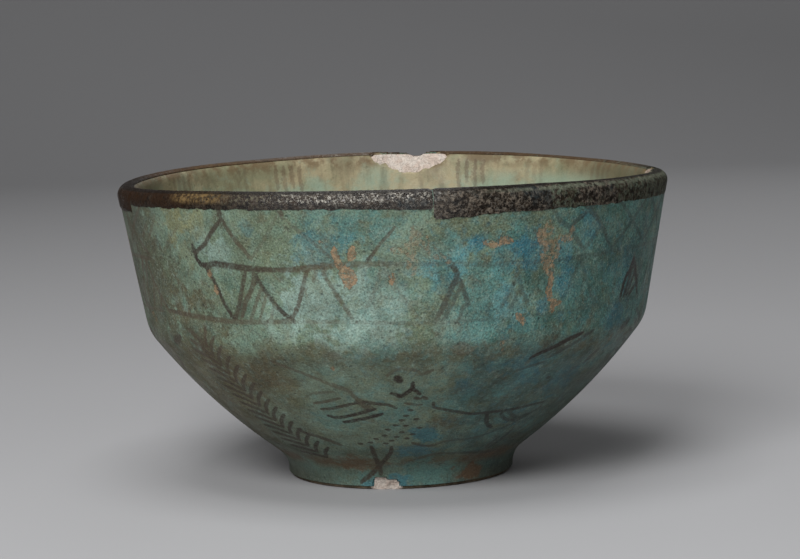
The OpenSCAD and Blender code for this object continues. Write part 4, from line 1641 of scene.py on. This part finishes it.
@dataclass(frozen=True)
class PasteFinish:
    """Bare quartz paste: pinkish white where freshly chipped, buff and soiled elsewhere, dark enough to
    stand as painted shade at the foot's edge.
    """

    form: BowlForm
    fresh: Colour = (0.640, 0.565, 0.500, 1)
    pink: Colour = (0.530, 0.410, 0.340, 1)
    stained: Colour = (0.250, 0.170, 0.120, 1)
    buff: Colour = (0.150, 0.115, 0.075, 1)
    soil_and_shade: Colour = (0.060, 0.045, 0.030, 1)
    grain: float = 0.55
    chip_edge: float = 0.6
    chip_fade: float = 0.5

    def material(self, groups: Mapping[str, Graph]) -> Material:
        """Builds the finish.

        Args:
            groups: the shared effects.

        Returns:
            The material.
        """
        f = Finish("bare quartz paste", groups)
        g = f.graph
        turned = g.vector("SCALE", f.attribute("turned"), 1 / MM)
        chipped = 0.0
        for chip in bowl_chips(self.form):
            away = g.vector("LENGTH", g.vector("SUBTRACT", turned, chip.centre / MM))
            edge = chip.radius + self.chip_edge
            chipped = g.math("MAXIMUM", chipped, g.smooth(away, edge + self.chip_fade, edge))
        clean = g.blend(g.times(f.mottle(3, 2), 0.6), self.fresh, self.pink)
        clean = g.blend(g.times(f.across(50, 60), 0.75), clean, self.stained)
        # Buff and soiled where not freshly chipped, dark enough to also be painted contact shadow along the
        # bare edge of the foot.
        f.colour = g.blend(f.mottle(8, 6, 0.4, 0.65), self.buff, self.soil_and_shade)
        f.lay(clean, chipped)
        grain = f.grain(self.grain)
        f.colour = f.toned(f.colour, grain["Tone"], 0.35)
        f.lay(self.buff, grain["Dark"], 0.2)
        rough = g.line(f.mottle(3, 11), 0.1, 0.82)
        height = g.math("ADD", g.times(grain["Height"], 0.22), g.times(f.mottle(1.8, 13), 0.2))
        return f.close(rough, height, specular=0.2, depth=1.0)


@dataclass
class Workshop:
    """What the bowl's pieces share: its form, its trees and its effects."""

    form: BowlForm = field(default_factory=BowlForm)
    hand: Handwork = field(default_factory=Handwork)

    def __post_init__(self) -> None:
        """Builds the trees and the shared effects."""
        self.turning = TurningTree(self.form, self.hand)
        self.brush = BrushTree()
        self.groups = shader_groups()
        self.paste = PasteFinish(self.form).material(self.groups)

    def turn(self, name: str, outline: Outline, columns: int, material: Material,
             steps: Sequence[tuple[Graph, Mapping[str, object]]] = (), **values: object) -> Piece:
        """Turns a piece.

        Args:
            name: name of the piece.
            outline: its profile.
            columns: number of faces round its sweep.
            material: its finish.
            steps: trees to run after the turning.
            **values: other inputs of the turning.

        Returns:
            The piece.
        """
        inputs = {"Columns": columns, "Start": -180.0, "Sweep": 360.0, "Relief": 0.0, "Raggedness": 0.0,
                  "Start Drop": 0.0, "End Drop": 0.0, "Sink": 0.0, "Seed": 0.0, "Material": material,
                  **values}
        return applied(name, outline.mesh(name + "_outline"), [(self.turning.graph, inputs), *steps])

    @staticmethod
    def seat(piece: Piece, slot: Slot, *nodes: str) -> None:
        """Puts a piece in place of its solids.

        Args:
            piece: the piece.
            slot: the record's material slot for the piece; not used.
            *nodes: names of the solids.
        """
        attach(piece, "root")
        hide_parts(*nodes)
        log.info("%s: %d faces", piece.name, len(piece.data.polygons))


@dataclass
class PasteCore:
    """The quartz paste: the body of the bowl and the foot luted under it."""

    shop: Workshop
    lip_zone: float = 9.0
    fine: float = 0.5
    coarse: float = 4.0
    under_spacing: float = 1.5
    ring_spacing: float = 0.8
    joint_spacing: float = 6.0
    columns: int = 480
    foot_columns: int = 300

    def build(self) -> None:
        """Turns the body and the foot."""
        form = self.shop.form
        outer, inner = form.paste()
        lip_foot = form.bowl_h - self.lip_zone
        wall = above(np.vstack((outer, inner[1:])), form.foot_h)
        wall = graded(wall, lambda z: np.where(z > lip_foot, self.fine, self.coarse))
        body = Outline(np.vstack(((0.0, form.foot_h), wall)))
        self.body = self.shop.turn("paste_body", body, self.columns, self.shop.paste)
        side_r = form.foot_d / 2 - form.glaze_t
        side = outer[outer[:, 1] < form.foot_h]
        joint = above(outer, form.foot_h)[0]
        dish_edge = (side_r - form.bearing_w, 0.0)
        corner = np.array((dish_edge, (side_r, 0.0), (side_r, form.glaze_stop + form.foot_edge)))
        edge = rounded(corner, 1, form.foot_edge)
        under = graded(np.array(((0.0, form.dish_depth), dish_edge)), self.under_spacing)
        ring = graded(np.array((dish_edge, edge[1])), self.ring_spacing)
        top = graded(np.array((joint, (0.0, form.foot_h))), self.joint_spacing)
        foot = Outline(np.vstack((under, ring[1:], edge[2:-1], side[1:], top)))
        self.foot = self.shop.turn("foot_disc_paste", foot, self.foot_columns, self.shop.paste)

    def dress(self) -> None:
        """Puts the paste in place of its solids."""
        self.shop.seat(self.body, Slot.PASTE, "bowl_body")
        self.shop.seat(self.foot, Slot.PASTE, "foot_disc")


@dataclass
class GlazeCoats:
    """The two coats of glaze, with the brush work that has sunk into them."""

    shop: Workshop
    outer_spacing: float = 0.65
    inner_spacing: float = 1.1
    hidden_spacing: float = 4.0
    outer_columns: int = 540
    inner_columns: int = 480
    sink: float = 0.7

    def build(self) -> None:
        """Turns both coats and notes the brush marks on them."""
        form = self.shop.form
        design = PaintedDesign()
        outer_paste, inner_paste = form.paste()
        visible = graded(form.outer(), self.outer_spacing)
        hidden = graded(outer_paste, self.hidden_spacing)[::-1]
        outline = Outline(np.vstack((visible, hidden, visible[:1])))
        material = OuterGlaze(form).material(self.shop.groups)
        self.outer = self._coat("outer_coat", outline, self.outer_columns, material,
                                Side.OUTSIDE, design.outside(), design.losses())
        visible = graded(form.inner(), self.inner_spacing)
        hidden = graded(inner_paste, self.hidden_spacing)[::-1]
        outline = Outline(np.vstack((hidden, visible)))
        material = InnerGlaze().material(self.shop.groups)
        # The tree asks for a loss, and the inner finish reads none, so any stroke will do
        self.inner = self._coat("inner_coat", outline, self.inner_columns, material,
                                Side.INSIDE, design.inside(), design.inside()[:1])

    def _coat(self, name: str, outline: Outline, columns: int, material: Material, side: Side,
              marks: Iterable[Stroke], losses: Iterable[Stroke]) -> Piece:
        """Turns one coat.

        Args:
            name: name of the coat.
            outline: its profile.
            columns: number of faces round it.
            material: its finish.
            side: the face of the wall that it covers.
            marks: its brush strokes.
            losses: its losses.

        Returns:
            The coat.
        """
        layer = StrokeLines(self.shop.form, self.shop.hand, side)
        lines = [layer.object(name + "_marks", marks), layer.object(name + "_losses", losses)]
        noted = (self.shop.brush.graph, {"Marks": lines[0], "Losses": lines[1], "Material": material})
        coat = self.shop.turn(name, outline, columns, material, [noted], Sink=self.sink * MM)
        for line in lines:
            bpy.data.objects.remove(line)
        return coat

    def dress(self) -> None:
        """Puts the coats in place of their solids."""
        self.shop.seat(self.outer, Slot.OUTER, "outer_glaze")
        self.shop.seat(self.inner, Slot.INNER, "inner_glaze")


@dataclass
class RimBand:
    """The dark band brushed over the lip in two strokes."""

    shop: Workshop
    relief: float = 0.3
    narrow_depth: float = 4.0
    wide_depth: float = 6.0
    inner_depth: float = 0.5
    narrow_start: float = -69.0
    narrow_end: float = 7.0
    joint_gap: float = 0.1
    narrow_drops: tuple[float, float] = (0.0, 0.5)
    wide_drops: tuple[float, float] = (0.9, -0.3)
    spacing: float = 0.4
    column_width: float = 0.5
    raggedness: float = 0.9
    pull_reach: float = 2.2
    edge_lift: float = 0.55
    edge_round: float = 0.6
    base_sink: float = 0.2
    narrow_seed: float = 3.0
    wide_seed: float = 8.0

    def build(self) -> None:
        """Turns both strokes, the narrow one ending just short of the wide one."""
        material = BandFinish(self.shop.form).material(self.shop.groups)
        sweep = self.narrow_end - self.narrow_start
        self.narrow = self._stroke("rim_stroke_narrow", self.narrow_start, sweep - self.joint_gap,
                                   self.narrow_depth, self.narrow_drops, material, self.narrow_seed)
        self.wide = self._stroke("rim_stroke_wide", self.narrow_end, 360.0 - sweep, self.wide_depth,
                                 self.wide_drops, material, self.wide_seed)

    def _stroke(self, name: str, start: float, sweep: float, depth: float, drops: tuple[float, float],
                material: Material, seed: float) -> Piece:
        """Turns one stroke.

        Args:
            name: name of the stroke.
            start: azimuth where it starts.
            sweep: how far round it runs.
            depth: how far down outside it reaches.
            drops: how much further down it reaches at its start and at its end.
            material: its finish.
            seed: chooses its ragged edge.

        Returns:
            The stroke.
        """
        form = self.shop.form
        outer = above(form.outer(), form.bowl_h - depth)
        inner = above(form.inner(), form.bowl_h - self.inner_depth)
        path = graded(np.vstack((outer, inner[1:])), self.spacing)
        run = np.arange(len(path)) * self.spacing
        from_edge = np.minimum(run, run[::-1])
        lift = self.edge_lift + (1 - self.edge_lift) * np.clip(from_edge / self.edge_round, 0, 1)
        pull = unit(outer[0] - outer[1]) * (MM * np.clip(1 - run / self.pull_reach, 0, 1))[:, None]
        out = outward(path) * MM
        base = np.full(len(path), -self.base_sink)
        backwards = slice(None, None, -1)
        outline = Outline(
            np.vstack((path, path[backwards], path[:1])),
            np.concatenate((lift, base, lift[:1])),
            np.vstack((out, out[backwards], out[:1])),
            np.vstack((pull, pull[backwards], pull[:1])),
        )
        columns = round(math.radians(sweep) * form.rim_d / 2 / self.column_width)
        inputs = {"Start": start, "Sweep": sweep, "Relief": self.relief, "Raggedness": self.raggedness,
                  "Start Drop": drops[0], "End Drop": drops[1], "Sink": GlazeCoats.sink * MM, "Seed": seed}
        return self.shop.turn(name, outline, columns, material, **inputs)

    def dress(self) -> None:
        """Puts the strokes in place of their solids."""
        self.shop.seat(self.narrow, Slot.BAND, "rim_band_narrow")
        self.shop.seat(self.wide, Slot.BAND, "rim_band_wide")


@dataclass
class Studio:
    """The plain pale sweep, the soft lamps and the camera."""

    camera_place: tuple[float, float, float] = (-9.3, -727.0, 135.8)
    pitch: float = 6.51
    yaw: float = 0.825
    roll: float = -1.64
    focal_px: float = 2653.6
    image_width: float = 800.0
    sensor: float = 36.0
    floor_colour: Colour = (0.42, 0.42, 0.43, 1)
    floor_roughness: float = 0.9
    floor_gloss: float = 0.1
    floor_half: float = 3.0
    sweep_start: float = 1.1
    sweep_radius: float = 0.7
    wall_top: float = 2.6
    lamps: tuple[tuple[str, tuple[float, float, float], float, float], ...] = (
        ("key_lamp", (-0.32, -0.85, 0.66), 0.5, 10.5),
        ("top_lamp", (-0.10, -0.22, 1.15), 0.6, 5.5),
        ("fill_lamp", (0.85, -0.55, 0.55), 0.7, 0.7),
        ("back_lamp", (0.30, 0.90, 0.75), 0.7, 1.4),
    )
    aim: tuple[float, float, float] = (0.0, 0.0, 0.045)
    world_strength: float = 0.06

    def build(self) -> None:
        """Makes the floor, the lamps, the world and the camera."""
        self._floor()
        for name, place, size, power in self.lamps:
            self._lamp(name, Vector(place), size, power)
        world = bpy.data.worlds.new("studio")
        world.use_nodes = True
        background = world.node_tree.nodes["Background"]
        background.inputs["Color"].default_value = (1, 1, 1, 1)
        background.inputs["Strength"].default_value = self.world_strength
        bpy.context.scene.world = world
        self._camera()
        bpy.context.scene.view_settings.view_transform = "Standard"

    def _floor(self) -> None:
        """Makes the floor, which sweeps up into a wall far behind the bowl."""
        centre = np.array((self.sweep_start, self.sweep_radius))
        curve = arc(centre, self.sweep_radius, -90, 0)
        wall = self.sweep_start + self.sweep_radius
        side = np.vstack(((-self.floor_half, 0.0), curve, (wall, self.wall_top)))
        points = [(x, y, z) for y, z in side for x in (-self.floor_half, self.floor_half)]
        faces = [(2 * i, 2 * i + 1, 2 * i + 3, 2 * i + 2) for i in range(len(side) - 1)]
        mesh = bpy.data.meshes.new("floor")
        mesh.from_pydata(points, [], faces)
        mesh.polygons.foreach_set("use_smooth", [True] * len(faces))
        floor = bpy.data.objects.new("floor", mesh)
        bpy.context.scene.collection.objects.link(floor)
        material = bpy.data.materials.new("pale floor")
        material.use_nodes = True
        surface = material.node_tree.nodes["Principled BSDF"]
        surface.inputs["Base Color"].default_value = self.floor_colour
        surface.inputs["Roughness"].default_value = self.floor_roughness
        surface.inputs["Specular IOR Level"].default_value = self.floor_gloss
        mesh.materials.append(material)

    def _lamp(self, name: str, place: Vector, size: float, power: float) -> None:
        """Adds a square soft lamp that faces the bowl.

        Args:
            name: its name.
            place: where it stands, in metres.
            size: its side, in metres.
            power: its power, in watts.
        """
        data = bpy.data.lights.new(name, "AREA")
        data.size = size
        data.energy = power
        lamp = bpy.data.objects.new(name, data)
        lamp.location = place
        lamp.rotation_euler = (Vector(self.aim) - place).to_track_quat("-Z", "Y").to_euler()
        bpy.context.scene.collection.objects.link(lamp)

    def _camera(self) -> None:
        """Adds the camera at the photograph's viewing angle."""
        pitch, yaw, roll = (math.radians(angle) for angle in (self.pitch, self.yaw, self.roll))
        turn = Matrix.Translation(Vector(self.camera_place) * MM)
        for angle, axis in ((-yaw, "Z"), (math.pi / 2 - pitch, "X"), (roll, "Z")):
            turn = turn @ Matrix.Rotation(angle, 4, axis)
        data = bpy.data.cameras.new("camera")
        data.sensor_width = self.sensor
        data.lens = self.focal_px / self.image_width * self.sensor
        camera = bpy.data.objects.new("camera", data)
        camera.matrix_world = turn
        bpy.context.scene.collection.objects.link(camera)
        bpy.context.scene.camera = camera


def main() -> None:
    """Builds the bowl and its studio."""
    logging.basicConfig(level=logging.INFO, format="%(message)s")
    Studio().build()
    shop = Workshop()
    for assembly in (PasteCore(shop), GlazeCoats(shop), RimBand(shop)):
        assembly.build()
        assembly.dress()


if __name__ == "__main__":
    main()
